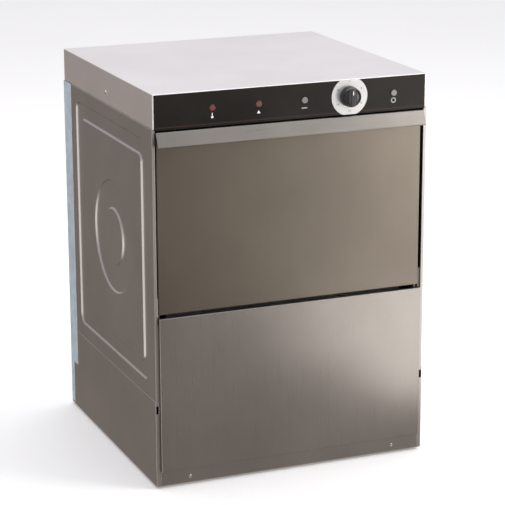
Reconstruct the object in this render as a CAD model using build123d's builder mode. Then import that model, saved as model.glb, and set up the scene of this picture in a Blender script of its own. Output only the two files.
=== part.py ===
"""Front-loading glass washer: folded stainless cabinet, drop-down door, wash chamber and machinery.

Millimetres, +Z up, +X to the machine's left-to-right as its user sees it, -Y towards the user.
The origin lies under the middle of the whole machine, on the floor.
"""
import os

from build123d import *

# ---------------------------------------------------------------- driving sizes
body_width = 600.0        # over the plinth
cover_depth = 577.0       # top cover, front to back
total_height = 820.0      # floor to the top of the cover
front_reach = 20.0        # knob, in front of the cover
rear_reach = 28.0         # water, drain and cable fittings, behind the cover
sheet = 1.0               # cabinet sheet
cover_sheet = 1.2         # top cover sheet
chamber_sheet = 1.2       # wash chamber and tank sheet
fit_gap = 0.3             # clearance between pieces that are not bolted together
run_gap = 0.07            # radial clearance of a shaft or pin in its bore

# cabinet
foot_height = 6.0
plinth_top = 188.0
plinth_step = 1.0         # plinth stands out from the side panels by its own sheet
cover_step = 2.0          # side panels stand out from the top cover
skirt_height = 69.0
front_flange_width = 5.5
flange_setback = 1.0      # front edge of the side panels, behind the cover's front
side_rear_edge = 523.0    # rear edge of the side panels, from the cover's front
rear_wrap_gap = 3.0
rear_notch_top = 106.0    # height where the rear panel's side wrap narrows
plinth_rear_edge = 552.0  # plinth side below the notch, from the cover's front
return_depth = 34.0       # side panel's inward return beside the door
bend_radius = 1.2
side_top_gap = 0.6        # side panels end below the cover's skirt
side_lap = 8.0            # side panels reach down behind the plinth
side_flange = 9.0         # rear flange and top ledge of a side panel
plinth_relief = 25.0      # slot at the top of the plinth's front corners
front_lip = 22.0          # plinth's front lip, above the lower panel's fold
foot_inset_side = 45.0
foot_inset_front = 48.0
foot_inset_rear = 50.0
foot_stud_length = 30.0
foot_chamfer = 1.5
cover_screw_back = 288.0  # from the cover's front
cover_screw_height = 774.0
cover_tab_half = 18.0
cover_tab_rise = 12.0

# pressed panel in each cabinet side
emboss_depth = 3.0
emboss_outer = (46.0, 492.0, 219.0, 722.0)   # front, rear, bottom and top of the channel
emboss_inner = (71.0, 454.0, 257.0, 686.0)   # the same for the plateau inside it
emboss_outer_radius = 22.0
emboss_inner_radius = 14.0
emboss_wall = 3.6         # width of each pressed slope
emboss_disc_centre = (253.5, 474.0)          # from the cover's front, and height
emboss_ring_outer = 121.0
emboss_ring_inner = 58.5

# control fascia
fascia_thickness = 1.5
fascia_margin_side = 2.2
fascia_margin_top = 1.4
fascia_drop = 3.0         # fascia reaches this far below the skirt
control_height = 785.0
control_first_x = -172.5
control_pitch = 99.0      # lamp, lamp, button, timer and button stand one pitch apart
lamp_radius = 6.5
button_radius = 6.4
button_proud = 3.0
button_travel = 2.5
dial_radius = 39.6
dial_thickness = 1.0
knob_radius = 21.5
knob_taper = 2.0
knob_grip_width = 12.0
knob_grip_depth = 5.0
knob_grip_rim = 3.5
knob_edge = 1.5
knob_socket = 12.0
shaft_radius = 3.0
shaft_tail = 26.0
timer_depth = 38.0
timer_half = (25.0, 24.0)
timer_corner = 4.0
tab_thickness = 0.8       # blade terminals on the timer, lamps and switches
lamp_depth = 26.0
lamp_proud = 1.2
switch_half = (10.0, 9.0)
switch_depth = 24.0
button_cap = 4.2          # part of a button that sits inside the fascia
stem_radius = 2.0
stem_length = 8.0

# door
door_setback = 5.0        # door face, behind the cover's front
door_half_width = 289.0
door_bottom = 370.0
door_top_gap = 3.5        # below the fascia
door_shell_depth = 19.0
liner_depth = 9.0
liner_half_width = 262.0
liner_bottom = 395.0
liner_top = 728.0
hinge_rise = 14.0         # hinge axis above the door's bottom edge
hinge_pin_radius = 4.0
hinge_arm_thickness = 4.0
hinge_arm_width = 11.0
hinge_lever = 50.0
handle_sheet = 1.5
handle_height = 30.0
handle_top_reach = 7.3    # from the door face
handle_bottom_reach = 21.0
handle_lip = 8.0
handle_overhang = 2.5     # past each side of the door
gasket_width = 12.0

# lower front panel
panel_proud = 6.0         # in front of the cover
panel_half_width = 291.0
panel_top = 365.0
panel_fold = 38.0
panel_top_return = 10.0
panel_top_lip = 13.0
panel_screw_x = 229.0
panel_screw_height = 20.0

# wash chamber and tank
chamber_half_width = 262.0
chamber_front = 37.0      # from the cover's front
chamber_rear = 562.0
chamber_floor = 300.0
chamber_top = 738.0
mouth_bottom = 392.0
mouth_top = 730.0
chamber_flange_half_width = 292.0
chamber_flange_bottom = 374.0
tank_half_width = 232.0
tank_front = 72.0
tank_rear = 528.0
tank_floor = 226.0
tank_rim = 12.0
filter_height = 340.0
filter_skirt = 1.2
filter_gap = 0.8          # each side of the machine's middle
filter_notch_gap = 6.0    # round the standpipe
filter_edge_gap = 2.0
standpipe_radius = 15.0

# spray system
hub_radius = 14.0
hub_rinse_radius = 9.0
hub_collar_radius = 18.0
hub_bore = 6.0
wash_arm_reach = 220.0
wash_arm_width = 26.0
wash_arm_height = 12.0
wash_arm_wall = 1.5
rinse_arm_reach = 200.0
rinse_arm_radius = 5.0
rinse_arm_bore = 3.5
arm_hub_wall = 7.0
lower_arm_height = 365.0  # underside of the lower wash arm
upper_arm_height = 719.0  # top side of the upper wash arm
arm_spacing = 19.0        # from a wash arm's seat to its rinse arm's seat
nozzle_count = 4

# rack
rack_width = 500.0
rack_depth = 500.0
rack_height = 100.0
rack_wall = 4.0
rack_rib = 3.0
rack_cells = 5
rack_floor = 8.0
rack_corner = 8.0
rack_window = (158.0, 46.0)
rack_window_pitch = 162.0
rack_window_count = 3
rack_window_height = 50.0
rack_rear_gap = 3.0
guide_height = 400.0
guide_shelf = 24.0

# machinery
pump_x = 62.0
pump_y = 400.0
pump_axis_height = 75.0
volute_radius = 60.0
volute_length = 48.0
volute_wall = 8.0
motor_radius = 55.0
motor_length = 140.0
impeller_radius = 40.0
pump_shaft_radius = 5.0
hose_wall = 3.0
suction_radius = 20.0
suction_stub = 14.0
tee_length = 28.0         # branch to the upper wash arm
feed_radius = 14.0
riser_radius = 11.0
rinse_hose_radius = 7.0
drain_radius = 13.0
boiler_x = -213.0
boiler_front = 200.0
boiler_length = 300.0
boiler_radius = 60.0
boiler_wall = 2.0
boiler_height = 92.0
service_height = 60.0     # rear fittings
rear_foot_gap = 2.0       # rear and lower front sheets stop above the plinth's floor
inlet_x = -120.0
drain_x = -60.0
gland_x = 180.0
bond_x = 240.0
cooling_height = 180.0
cooling_pitch = (90.0, 14.0)
cooling_rows = (5, 6)
cooling_slot = (60.0, 4.0)
foot_radius = 19.0
inlet_radius = 13.2       # 3/4 inch thread
valve_depth = 46.0
valve_half = 16.0
valve_stub = 30.0
gland_radius = 10.0
gland_bore = 4.5
gland_reach = 24.0
gland_nut = 14.0
gland_tail = 12.0
bond_radius = 3.0
bond_reach = 18.0
bond_nut = (5.8, 4.0)     # across corners radius, thickness
drain_reach = 25.0
foot_stud_radius = 5.0

screw_radius = 2.0
screw_length = 10.0
screw_head_radius = 4.2
screw_head_height = 2.2
screw_head_taper = 18.0   # degrees
screw_slot = 0.8

# ---------------------------------------------------------------- worked-out places
cover_front = front_reach - (front_reach + cover_depth + rear_reach) / 2
cover_rear = cover_front + cover_depth
plinth_half = body_width / 2
side_half = plinth_half - plinth_step
cover_half = side_half - cover_step
skirt_bottom = total_height - skirt_height
side_top = skirt_bottom - side_top_gap
flange_y = cover_front + flange_setback
return_half = side_half - front_flange_width
flange_inner = panel_half_width - 6.0   # corner flanges reach behind the lower panel
rear_foot = foot_height + rear_foot_gap

fascia_half = cover_half - fascia_margin_side
fascia_top = total_height - fascia_margin_top
fascia_bottom = skirt_bottom - fascia_drop
control_xs = [control_first_x + control_pitch * n for n in range(5)]
lamp_xs = control_xs[:2]
start_x = control_xs[2]
timer_x = control_xs[3]
power_x = control_xs[4]
button_xs = (start_x, power_x)
fascia_back = cover_front + fascia_thickness
skirt_back = fascia_back + cover_sheet

door_face = cover_front + door_setback
door_back = door_face + door_shell_depth
door_top = fascia_bottom - door_top_gap
liner_back = door_back + liner_depth
hinge_y = door_face + hinge_rise
hinge_z = door_bottom + hinge_rise
arm_outer = door_half_width - sheet

mouth_y = cover_front + chamber_front
chamber_back = cover_front + chamber_rear
spray_y = (mouth_y + chamber_back) / 2
standpipe_x = -(tank_half_width - 27.0)
standpipe_y = cover_front + tank_front + 33.0
tank_inside = tank_floor + chamber_sheet

volute_back_x = pump_x + volute_length
suction_end = pump_x - suction_stub
pump_centre_y = cover_front + pump_y
suction_x = 20.0
discharge_x = pump_x + volute_length / 2
discharge_y = pump_centre_y + volute_radius - feed_radius - 4.0
discharge_top = pump_axis_height + 58.0
tee_height = pump_axis_height + 36.0

os.makedirs("parts", exist_ok=True)


def block(low, high, mode=Mode.ADD):
    """Add a straight-sided block between two corners to the part being built."""
    size = [abs(b - a) for a, b in zip(low, high)]
    centre = tuple((a + b) / 2 for a, b in zip(low, high))
    with Locations(centre):
        Box(*size, mode=mode)


def mirrored_block(low, high, mode=Mode.ADD):
    """Add a block and its mirror image across the machine's middle."""
    block(low, high, mode)
    block((-high[0], low[1], low[2]), (-low[0], high[1], high[2]), mode)


def round_bar(centre, radius, length, axis, mode=Mode.ADD):
    """Add a cylinder that starts at a point and runs along an axis."""
    with BuildSketch(Plane(origin=centre, z_dir=axis)) as end:
        Circle(radius)
    extrude(end.sketch, amount=length, mode=mode)


def save(piece, name):
    """Label a finished piece and write it to its own file."""
    piece.part.label = name
    export_step(piece.part, f"parts/{name}.step")


X_AXIS = (1, 0, 0)
Y_AXIS = (0, 1, 0)
Z_AXIS = (0, 0, 1)

# ---------------------------------------------------------------- cabinet
with BuildPart() as base_plinth:
    block((-plinth_half, flange_y, foot_height),
          (plinth_half, cover_rear - 2 * sheet, foot_height + sheet))
    mirrored_block((plinth_half - sheet, flange_y, foot_height),
                   (plinth_half, cover_front + side_rear_edge, plinth_top))
    mirrored_block((plinth_half - sheet, cover_front + side_rear_edge, foot_height),
                   (plinth_half, cover_front + plinth_rear_edge, rear_notch_top))
    # front: corner flanges with a relief slot at the top, and a low lip for the panel screws
    mirrored_block((flange_inner, flange_y, foot_height), (plinth_half, flange_y + sheet, plinth_top))
    mirrored_block((return_half, flange_y, plinth_top - plinth_relief),
                   (plinth_half - sheet, flange_y + sheet, plinth_top), Mode.SUBTRACT)
    block((-return_half, flange_y, foot_height), (return_half, flange_y + sheet, panel_fold + front_lip))
    # rear upstand
    block((-side_half + sheet, cover_rear - 3 * sheet, foot_height),
          (side_half - sheet, cover_rear - 2 * sheet, panel_fold))
    foot_x = plinth_half - foot_inset_side
    foot_front = cover_front + foot_inset_front
    foot_rear = cover_rear - foot_inset_rear
    foot_places = [(x, y) for x in (-foot_x, foot_x) for y in (foot_front, foot_rear)]
    with Locations(*[(x, y, foot_height) for x, y in foot_places]):
        Cylinder(foot_stud_radius + fit_gap, 4 * sheet, mode=Mode.SUBTRACT)
    with Locations(*[(x, flange_y, panel_screw_height) for x in (-panel_screw_x, panel_screw_x)]):
        Cylinder(screw_radius + fit_gap, 4 * sheet, rotation=(90, 0, 0), mode=Mode.SUBTRACT)
save(base_plinth, "base_plinth")

with BuildPart() as levelling_feet:
    for x, y in foot_places:
        round_bar((x, y, 0), foot_radius, foot_height, Z_AXIS)
        round_bar((x, y, foot_height), foot_stud_radius, foot_stud_length, Z_AXIS)
    chamfer(levelling_feet.edges().group_by(Axis.Z)[0], foot_chamfer)
save(levelling_feet, "levelling_feet")


def tapered(mode, face_shape, far_shape):
    """Loft between two profiles already placed on parallel planes."""
    loft([face_shape.face(), far_shape.face()], mode=mode)


def pressed_rectangle(plane, limits, corner, wall, mode):
    """Sloping-sided rectangle between limits at the face, wall narrower all round at full depth."""
    front, rear, bottom, top = limits
    with BuildSketch(plane) as at_face:
        RectangleRounded(rear - front, top - bottom, corner)
    with BuildSketch(plane.offset(emboss_depth)) as at_depth:
        RectangleRounded(rear - front - 2 * wall, top - bottom - 2 * wall, corner - wall)
    tapered(mode, at_face.sketch, at_depth.sketch)


def pressed_circle(plane, radius, wall, mode):
    """Sloping-sided disc, wall smaller at full depth."""
    with BuildSketch(plane) as at_face:
        Circle(radius)
    with BuildSketch(plane.offset(emboss_depth)) as at_depth:
        Circle(radius - wall)
    tapered(mode, at_face.sketch, at_depth.sketch)


def panel_plane(sign, limits):
    """Plane on a cabinet side's outer face, centred between limits and facing inwards."""
    front, rear, bottom, top = limits
    centre = (sign * side_half, cover_front + (front + rear) / 2, (bottom + top) / 2)
    return Plane(origin=centre, x_dir=(0, 1, 0), z_dir=(-sign, 0, 0))


def side_recess(sign):
    """What the press tool pushes in: a channel round a plateau, and a ring round a disc."""
    ring_centre = (sign * side_half, cover_front + emboss_disc_centre[0], emboss_disc_centre[1])
    ring_plane = Plane(origin=ring_centre, x_dir=(0, 1, 0), z_dir=(-sign, 0, 0))
    with BuildPart() as recess:
        pressed_rectangle(panel_plane(sign, emboss_outer), emboss_outer, emboss_outer_radius,
                          emboss_wall, Mode.ADD)
        pressed_rectangle(panel_plane(sign, emboss_inner), emboss_inner, emboss_inner_radius,
                          -emboss_wall, Mode.SUBTRACT)
        pressed_circle(ring_plane, emboss_ring_outer, emboss_wall, Mode.ADD)
        pressed_circle(ring_plane, emboss_ring_inner, -emboss_wall, Mode.SUBTRACT)
    return recess.part


def signed_block(sign, low, high, mode=Mode.ADD):
    """Add a block given for the right-hand side, on the side that sign names."""
    if sign > 0:
        block(low, high, mode)
    else:
        block((-high[0], low[1], low[2]), (-low[0], high[1], high[2]), mode)


cover_screw_y = cover_front + cover_screw_back
cover_screw_hole = screw_radius + fit_gap

for side_name, sign in (("side_panel_left", -1), ("side_panel_right", 1)):
    recess = side_recess(sign)
    rear_edge = cover_front + side_rear_edge
    lower_edge = plinth_top - side_lap
    with BuildPart() as side_panel:
        signed_block(sign, (side_half - sheet, flange_y, lower_edge), (side_half, rear_edge, side_top))
        add(recess.moved(Location((-sign * sheet, 0, 0))))
        add(recess, mode=Mode.SUBTRACT)
        # front flange, return beside the door, rear flange and top ledge
        signed_block(sign, (return_half, flange_y, lower_edge), (side_half, flange_y + sheet, side_top))
        signed_block(sign, (flange_inner, flange_y, plinth_top + fit_gap),
                     (return_half, flange_y + sheet, panel_top - panel_top_lip - fit_gap))
        signed_block(sign, (return_half, flange_y, plinth_top),
                     (return_half + sheet, flange_y + return_depth, side_top))
        signed_block(sign, (side_half - side_flange, rear_edge - sheet, lower_edge),
                     (side_half, rear_edge, side_top))
        signed_block(sign, (side_half - side_flange, flange_y + sheet, side_top - sheet),
                     (side_half, rear_edge, side_top))
        # tab behind the cover's skirt, for the cover screw
        tab_face = cover_half - cover_sheet
        signed_block(sign, (tab_face - sheet, cover_screw_y - cover_tab_half, side_top - sheet),
                     (tab_face, cover_screw_y + cover_tab_half, cover_screw_height + cover_tab_rise))
        round_bar((0, cover_screw_y, cover_screw_height), cover_screw_hole, sign * side_half, X_AXIS,
                  Mode.SUBTRACT)
    save(side_panel, side_name)

with BuildPart() as top_cover:
    block((-cover_half, cover_front, skirt_bottom), (cover_half, cover_rear, total_height))
    top_edges = top_cover.faces().sort_by(Axis.Z)[-1].edges()
    upright_edges = top_cover.edges().filter_by(Axis.Z)
    fillet(top_edges + upright_edges, bend_radius)
    block((-cover_half + cover_sheet, skirt_back, skirt_bottom),
          (cover_half - cover_sheet, cover_rear - cover_sheet, total_height - cover_sheet), Mode.SUBTRACT)
    block((-fascia_half, cover_front, skirt_bottom), (fascia_half, fascia_back, fascia_top), Mode.SUBTRACT)
    for x in lamp_xs + list(button_xs):
        round_bar((x, fascia_back, control_height), lamp_radius + 1, 2 * cover_sheet, Y_AXIS, Mode.SUBTRACT)
    round_bar((timer_x, fascia_back, control_height), shaft_radius + 2, 2 * cover_sheet, Y_AXIS,
              Mode.SUBTRACT)
    with Locations((0, cover_screw_y, cover_screw_height)):
        Cylinder(cover_screw_hole, body_width, rotation=(0, 90, 0), mode=Mode.SUBTRACT)
save(top_cover, "top_cover")


def pan_screw(head_point, axis):
    """Pan-head screw: its head stands on a surface and its shank runs back along the axis."""
    seat = Plane(origin=head_point, z_dir=axis)
    with BuildSketch(seat) as shank:
        Circle(screw_radius)
    extrude(shank.sketch, amount=-screw_length)
    with BuildSketch(seat) as head:
        Circle(screw_head_radius)
    extrude(head.sketch, amount=screw_head_height, taper=screw_head_taper)
    with BuildSketch(seat.offset(screw_head_height)) as cross:
        Rectangle(screw_head_radius, screw_slot)
        Rectangle(screw_slot, screw_head_radius)
    extrude(cross.sketch, amount=-screw_head_height / 2, mode=Mode.SUBTRACT)


with BuildPart() as cover_screws:
    for sign in (-1, 1):
        pan_screw((sign * cover_half, cover_screw_y, cover_screw_height), (sign, 0, 0))
save(cover_screws, "cover_screws")

with BuildPart() as rear_panel:
    block((-side_half, cover_rear - sheet, rear_foot), (side_half, cover_rear, side_top))
    wrap_bottom = rear_notch_top + fit_gap
    mirrored_block((side_half - sheet, cover_front + side_rear_edge + rear_wrap_gap, wrap_bottom),
                   (side_half, cover_rear, side_top))
    mirrored_block((side_half - sheet, cover_front + plinth_rear_edge + fit_gap, rear_foot),
                   (side_half, cover_rear, wrap_bottom + sheet))
    for x, radius in ((inlet_x, inlet_radius + fit_gap), (drain_x, drain_radius + fit_gap),
                      (gland_x, gland_radius + fit_gap), (bond_x, bond_radius + fit_gap)):
        round_bar((x, cover_rear - 2 * sheet, service_height), radius, 4 * sheet, Y_AXIS, Mode.SUBTRACT)
    with Locations(Plane(origin=(0, cover_rear, cooling_height), x_dir=X_AXIS, z_dir=Y_AXIS)):
        with GridLocations(*cooling_pitch, *cooling_rows):
            Box(*cooling_slot, 4 * sheet, mode=Mode.SUBTRACT)
save(rear_panel, "rear_panel")

with BuildPart() as control_fascia:
    block((-fascia_half, cover_front, fascia_bottom), (fascia_half, fascia_back, fascia_top))
    for x in lamp_xs + list(button_xs):
        round_bar((x, cover_front, control_height), lamp_radius + fit_gap, fascia_thickness, Y_AXIS,
                  Mode.SUBTRACT)
    round_bar((timer_x, cover_front, control_height), shaft_radius + 1, fascia_thickness, Y_AXIS,
              Mode.SUBTRACT)
save(control_fascia, "control_fascia")

with BuildPart() as dial_plate:
    dial_face = Plane(origin=(timer_x, cover_front, control_height), x_dir=X_AXIS, z_dir=(0, -1, 0))
    with BuildSketch(dial_face):
        Circle(dial_radius)
        Circle(shaft_radius + 1, mode=Mode.SUBTRACT)
        plate_up = fascia_top - control_height
        plate_down = control_height - fascia_bottom
        with Locations((0, (plate_up - plate_down) / 2)):
            Rectangle(2 * dial_radius, plate_up + plate_down, mode=Mode.INTERSECT)
    extrude(amount=dial_thickness)
save(dial_plate, "dial_plate")

# ---------------------------------------------------------------- controls
knob_base = cover_front - dial_thickness - fit_gap
knob_face = cover_front - front_reach
with BuildPart() as timer_knob:
    with BuildSketch(Plane(origin=(timer_x, knob_base, control_height), z_dir=(0, -1, 0))):
        Circle(knob_radius)
    with BuildSketch(Plane(origin=(timer_x, knob_face, control_height), z_dir=(0, -1, 0))):
        Circle(knob_radius - knob_taper)
    loft()
    fillet(timer_knob.edges().group_by(Axis.Y)[0], knob_edge)
    grip_plane = Plane(origin=(timer_x, knob_face, control_height), x_dir=(1, 0, 0), z_dir=(0, 1, 0))
    with BuildSketch(grip_plane):
        Circle(knob_radius - knob_taper - knob_grip_rim)
        Rectangle(knob_grip_width, 2 * knob_radius, mode=Mode.SUBTRACT)
    extrude(amount=knob_grip_depth, taper=12, mode=Mode.SUBTRACT)
    round_bar((timer_x, knob_base, control_height), shaft_radius + run_gap, -knob_socket, Y_AXIS,
              Mode.SUBTRACT)
save(timer_knob, "timer_knob")

timer_face = skirt_back + sheet
with BuildPart() as timer_shaft:
    shaft_start = knob_base - knob_socket + fit_gap
    round_bar((timer_x, shaft_start, control_height), shaft_radius, timer_face + shaft_tail - shaft_start,
              Y_AXIS)
save(timer_shaft, "timer_shaft")

with BuildPart() as timer_body:
    block((timer_x - timer_half[0], timer_face, control_height - timer_half[1]),
          (timer_x + timer_half[0], timer_face + timer_depth, control_height + timer_half[1]))
    fillet(timer_body.edges().filter_by(Axis.Y), timer_corner)
    round_bar((timer_x, timer_face, control_height), shaft_radius + run_gap, shaft_tail + 1, Y_AXIS,
              Mode.SUBTRACT)
    for x in (-16, -8, 0, 8, 16):
        block((timer_x + x - 2, timer_face + timer_depth, control_height - 12),
              (timer_x + x + 2, timer_face + timer_depth + 8, control_height - 12 + tab_thickness))
save(timer_body, "timer_body")

for lamp_name, x in zip(("pilot_lamp_red", "pilot_lamp_amber"), lamp_xs):
    with BuildPart() as pilot_lamp:
        round_bar((x, cover_front - lamp_proud, control_height), lamp_radius, lamp_depth, Y_AXIS)
        fillet(pilot_lamp.edges().group_by(Axis.Y)[0], lamp_proud - 0.1)
        lamp_end = cover_front - lamp_proud + lamp_depth
        for offset in (-3, 3):
            block((x + offset, lamp_end - 1, control_height - 2.4),
                  (x + offset + tab_thickness, lamp_end + 8, control_height + 2.4))
    save(pilot_lamp, lamp_name)

switch_face = skirt_back + button_travel + 2.5
for button_name, x in (("start_button", start_x), ("power_button", power_x)):
    with BuildPart() as push_button:
        round_bar((x, cover_front - button_proud, control_height), button_radius,
                  button_proud + button_cap, Y_AXIS)
        fillet(push_button.edges().group_by(Axis.Y)[0], lamp_proud - fit_gap)
        round_bar((x, cover_front + button_cap, control_height), stem_radius, stem_length, Y_AXIS)
    save(push_button, button_name)

with BuildPart() as push_switches:
    for x in button_xs:
        block((x - switch_half[0], switch_face, control_height - switch_half[1]),
              (x + switch_half[0], switch_face + switch_depth, control_height + switch_half[1]))
        round_bar((x, switch_face, control_height), stem_radius + run_gap, switch_depth - 10, Y_AXIS,
                  Mode.SUBTRACT)
        for offset in (-6, 6):
            block((x + offset, switch_face + switch_depth, control_height - 3),
                  (x + offset + tab_thickness, switch_face + switch_depth + 8, control_height + 3))
save(push_switches, "push_switches")

# ---------------------------------------------------------------- lower front panel
panel_face = cover_front - panel_proud
panel_back = flange_y - fit_gap
with BuildPart() as lower_front_panel:
    block((-panel_half_width, panel_face, panel_fold), (panel_half_width, panel_back, panel_top))
    front_edges = lower_front_panel.faces().sort_by(Axis.Y)[0].edges()
    fillet(front_edges, bend_radius)
    block((-panel_half_width + sheet, panel_face + sheet, panel_fold + sheet),
          (panel_half_width - sheet, panel_back, panel_top - sheet), Mode.SUBTRACT)
    block((-panel_half_width + sheet, panel_back - 2 * sheet, panel_top - sheet),
          (panel_half_width - sheet, panel_face + panel_top_return, panel_top))
    block((-panel_half_width + sheet, panel_face + panel_top_return - sheet, panel_top - panel_top_lip),
          (panel_half_width - sheet, panel_face + panel_top_return, panel_top))
    block((-panel_half_width, flange_y - sheet, rear_foot), (panel_half_width, flange_y, panel_fold + sheet))
    with Locations(*[(x, flange_y, panel_screw_height) for x in (-panel_screw_x, panel_screw_x)]):
        Cylinder(screw_radius + fit_gap, 4 * sheet, rotation=(90, 0, 0), mode=Mode.SUBTRACT)
save(lower_front_panel, "lower_front_panel")

with BuildPart() as front_panel_screws:
    for x in (-panel_screw_x, panel_screw_x):
        pan_screw((x, flange_y - sheet, panel_screw_height), (0, -1, 0))
save(front_panel_screws, "front_panel_screws")

# ---------------------------------------------------------------- door
lever_slot = (arm_outer - hinge_arm_thickness - 1, arm_outer + 1)
with BuildPart() as door_outer_skin:
    block((-door_half_width, door_face, door_bottom), (door_half_width, door_back, door_top))
    fillet(door_outer_skin.faces().sort_by(Axis.Y)[0].edges(), bend_radius)
    block((-door_half_width + sheet, door_face + sheet, door_bottom + sheet),
          (door_half_width - sheet, door_back, door_top - sheet), Mode.SUBTRACT)
    mirrored_block((lever_slot[0], door_face + 2, door_bottom),
                   (lever_slot[1] - 1, door_back, door_bottom + sheet), Mode.SUBTRACT)
    with Locations((0, hinge_y, hinge_z)):
        Cylinder(hinge_pin_radius + run_gap, body_width, rotation=(0, 90, 0), mode=Mode.SUBTRACT)
save(door_outer_skin, "door_outer_skin")

with BuildPart() as door_inner_liner:
    rim_back = door_back
    rim_half = door_half_width - sheet - 0.2
    block((-rim_half, rim_back - sheet, door_bottom + 2), (rim_half, rim_back, door_top - sheet - 0.2))
    block((-liner_half_width, rim_back - sheet, liner_bottom), (liner_half_width, liner_back, liner_top))
    fillet(door_inner_liner.faces().sort_by(Axis.Y)[-1].edges(), 2 * sheet)
    block((-liner_half_width + sheet, rim_back - sheet, liner_bottom + sheet),
          (liner_half_width - sheet, liner_back - sheet, liner_top - sheet), Mode.SUBTRACT)
    mirrored_block((lever_slot[0], rim_back - sheet, door_bottom + 2), (rim_half, rim_back, hinge_z + 8),
                   Mode.SUBTRACT)
save(door_inner_liner, "door_inner_liner")

with BuildPart() as door_handle:
    handle_half = door_half_width + handle_overhang
    handle_top = door_top - handle_sheet / 2
    handle_foot = handle_top - handle_height + handle_sheet
    with BuildSketch(Plane.YZ.offset(-handle_half)):
        with BuildLine():
            FilletPolyline((door_face - handle_sheet / 2, handle_top - 22),
                           (door_face - handle_sheet / 2, handle_top),
                           (door_face - handle_top_reach + handle_sheet / 2, handle_top),
                           (door_face - handle_bottom_reach + handle_sheet / 2, handle_foot),
                           (door_face - handle_bottom_reach + handle_lip, handle_foot),
                           radius=1.6)
        trace(line_width=handle_sheet)
    extrude(amount=2 * handle_half)
save(door_handle, "door_handle")

with BuildPart() as door_hinge_arms:
    for sign in (-1, 1):
        face_x = arm_outer if sign > 0 else -arm_outer + hinge_arm_thickness
        with BuildSketch(Plane(origin=(face_x, 0, 0), x_dir=(0, 1, 0), z_dir=(1, 0, 0))):
            with Locations((hinge_y, hinge_z)):
                Circle(hinge_arm_width / 2 + 1.5)
            with Locations((hinge_y - 2, hinge_z + 45)):
                Rectangle(hinge_arm_width, 90)
            with Locations((hinge_y, hinge_z - hinge_lever / 2)):
                SlotOverall(hinge_lever + 8, 9, rotation=90)
            with Locations((hinge_y, hinge_z)):
                Circle(hinge_pin_radius + run_gap, mode=Mode.SUBTRACT)
            with Locations((hinge_y, hinge_z - hinge_lever)):
                Circle(1.8, mode=Mode.SUBTRACT)
        extrude(amount=-hinge_arm_thickness)
save(door_hinge_arms, "door_hinge_arms")

magnet_x = 272.0
magnet_height = 672.0
with BuildPart() as door_magnet:
    block((magnet_x - 6, door_back - sheet - 9, magnet_height - 16),
          (magnet_x + 6, door_back - sheet, magnet_height + 16))
    chamfer(door_magnet.edges().filter_by(Axis.Z), 1)
save(door_magnet, "door_magnet")

bracket_inner = door_half_width + 0.8
bracket_outer = return_half
with BuildPart() as hinge_brackets:
    for sign in (-1, 1):
        low_x, high_x = sorted((sign * bracket_inner, sign * bracket_outer))
        block((low_x, door_face + 2, hinge_z - 34), (high_x, mouth_y - 1, hinge_z + 22))
    fillet(hinge_brackets.edges().filter_by(Axis.X), 4)
save(hinge_brackets, "hinge_brackets")

with BuildPart() as hinge_pins:
    pin_inner = arm_outer - hinge_arm_thickness - 4
    round_bar((bracket_inner, hinge_y, hinge_z), hinge_pin_radius, bracket_inner - pin_inner, (-1, 0, 0))
    round_bar((-bracket_inner, hinge_y, hinge_z), hinge_pin_radius, bracket_inner - pin_inner, X_AXIS)
save(hinge_pins, "hinge_pins")

spring_x = arm_outer - hinge_arm_thickness / 2
spring_top = hinge_z - hinge_lever - 5
spring_foot = foot_height + sheet
with BuildPart() as door_springs:
    for sign in (-1, 1):
        round_bar((sign * spring_x, hinge_y, spring_foot), 1.2, 60, Z_AXIS)
        round_bar((sign * spring_x, hinge_y, spring_foot + 60), 5.0, spring_top - spring_foot - 90, Z_AXIS)
        round_bar((sign * spring_x, hinge_y, spring_top - 30), 1.2, 30, Z_AXIS)
        round_bar((sign * spring_x, hinge_y, spring_foot + 64), 3.6, spring_top - spring_foot - 98, Z_AXIS,
                  Mode.SUBTRACT)
save(door_springs, "door_springs")

# ---------------------------------------------------------------- wash chamber and tank
with BuildPart() as wash_chamber:
    block((-chamber_half_width, mouth_y, chamber_floor), (chamber_half_width, chamber_back, chamber_top))
    fillet(wash_chamber.edges().filter_by(Axis.Z).group_by(Axis.Y)[-1], 3 * chamber_sheet)
    inner_half = chamber_half_width - chamber_sheet
    block((-inner_half, mouth_y + chamber_sheet, chamber_floor + chamber_sheet),
          (inner_half, chamber_back - chamber_sheet, chamber_top - chamber_sheet), Mode.SUBTRACT)
    # flange round the mouth, notched for the hinge levers
    block((-chamber_flange_half_width, mouth_y, chamber_flange_bottom),
          (chamber_flange_half_width, mouth_y + chamber_sheet, door_top + 1))
    block((-inner_half, mouth_y, mouth_bottom), (inner_half, mouth_y + chamber_sheet, mouth_top),
          Mode.SUBTRACT)
    lever_notch = hinge_arm_width / 2 + 4
    mirrored_block((lever_slot[0], mouth_y, chamber_flange_bottom),
                   (chamber_flange_half_width, mouth_y + chamber_sheet, hinge_z + lever_notch),
                   Mode.SUBTRACT)
    # opening over the tank, and the upper hub's hole
    block((-tank_half_width + chamber_sheet, cover_front + tank_front + chamber_sheet, chamber_floor),
          (tank_half_width - chamber_sheet, cover_front + tank_rear - chamber_sheet,
           chamber_floor + chamber_sheet), Mode.SUBTRACT)
    round_bar((0, spray_y, chamber_top - 2 * chamber_sheet), hub_radius + fit_gap, 4 * chamber_sheet,
              Z_AXIS, Mode.SUBTRACT)
save(wash_chamber, "wash_chamber")

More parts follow.
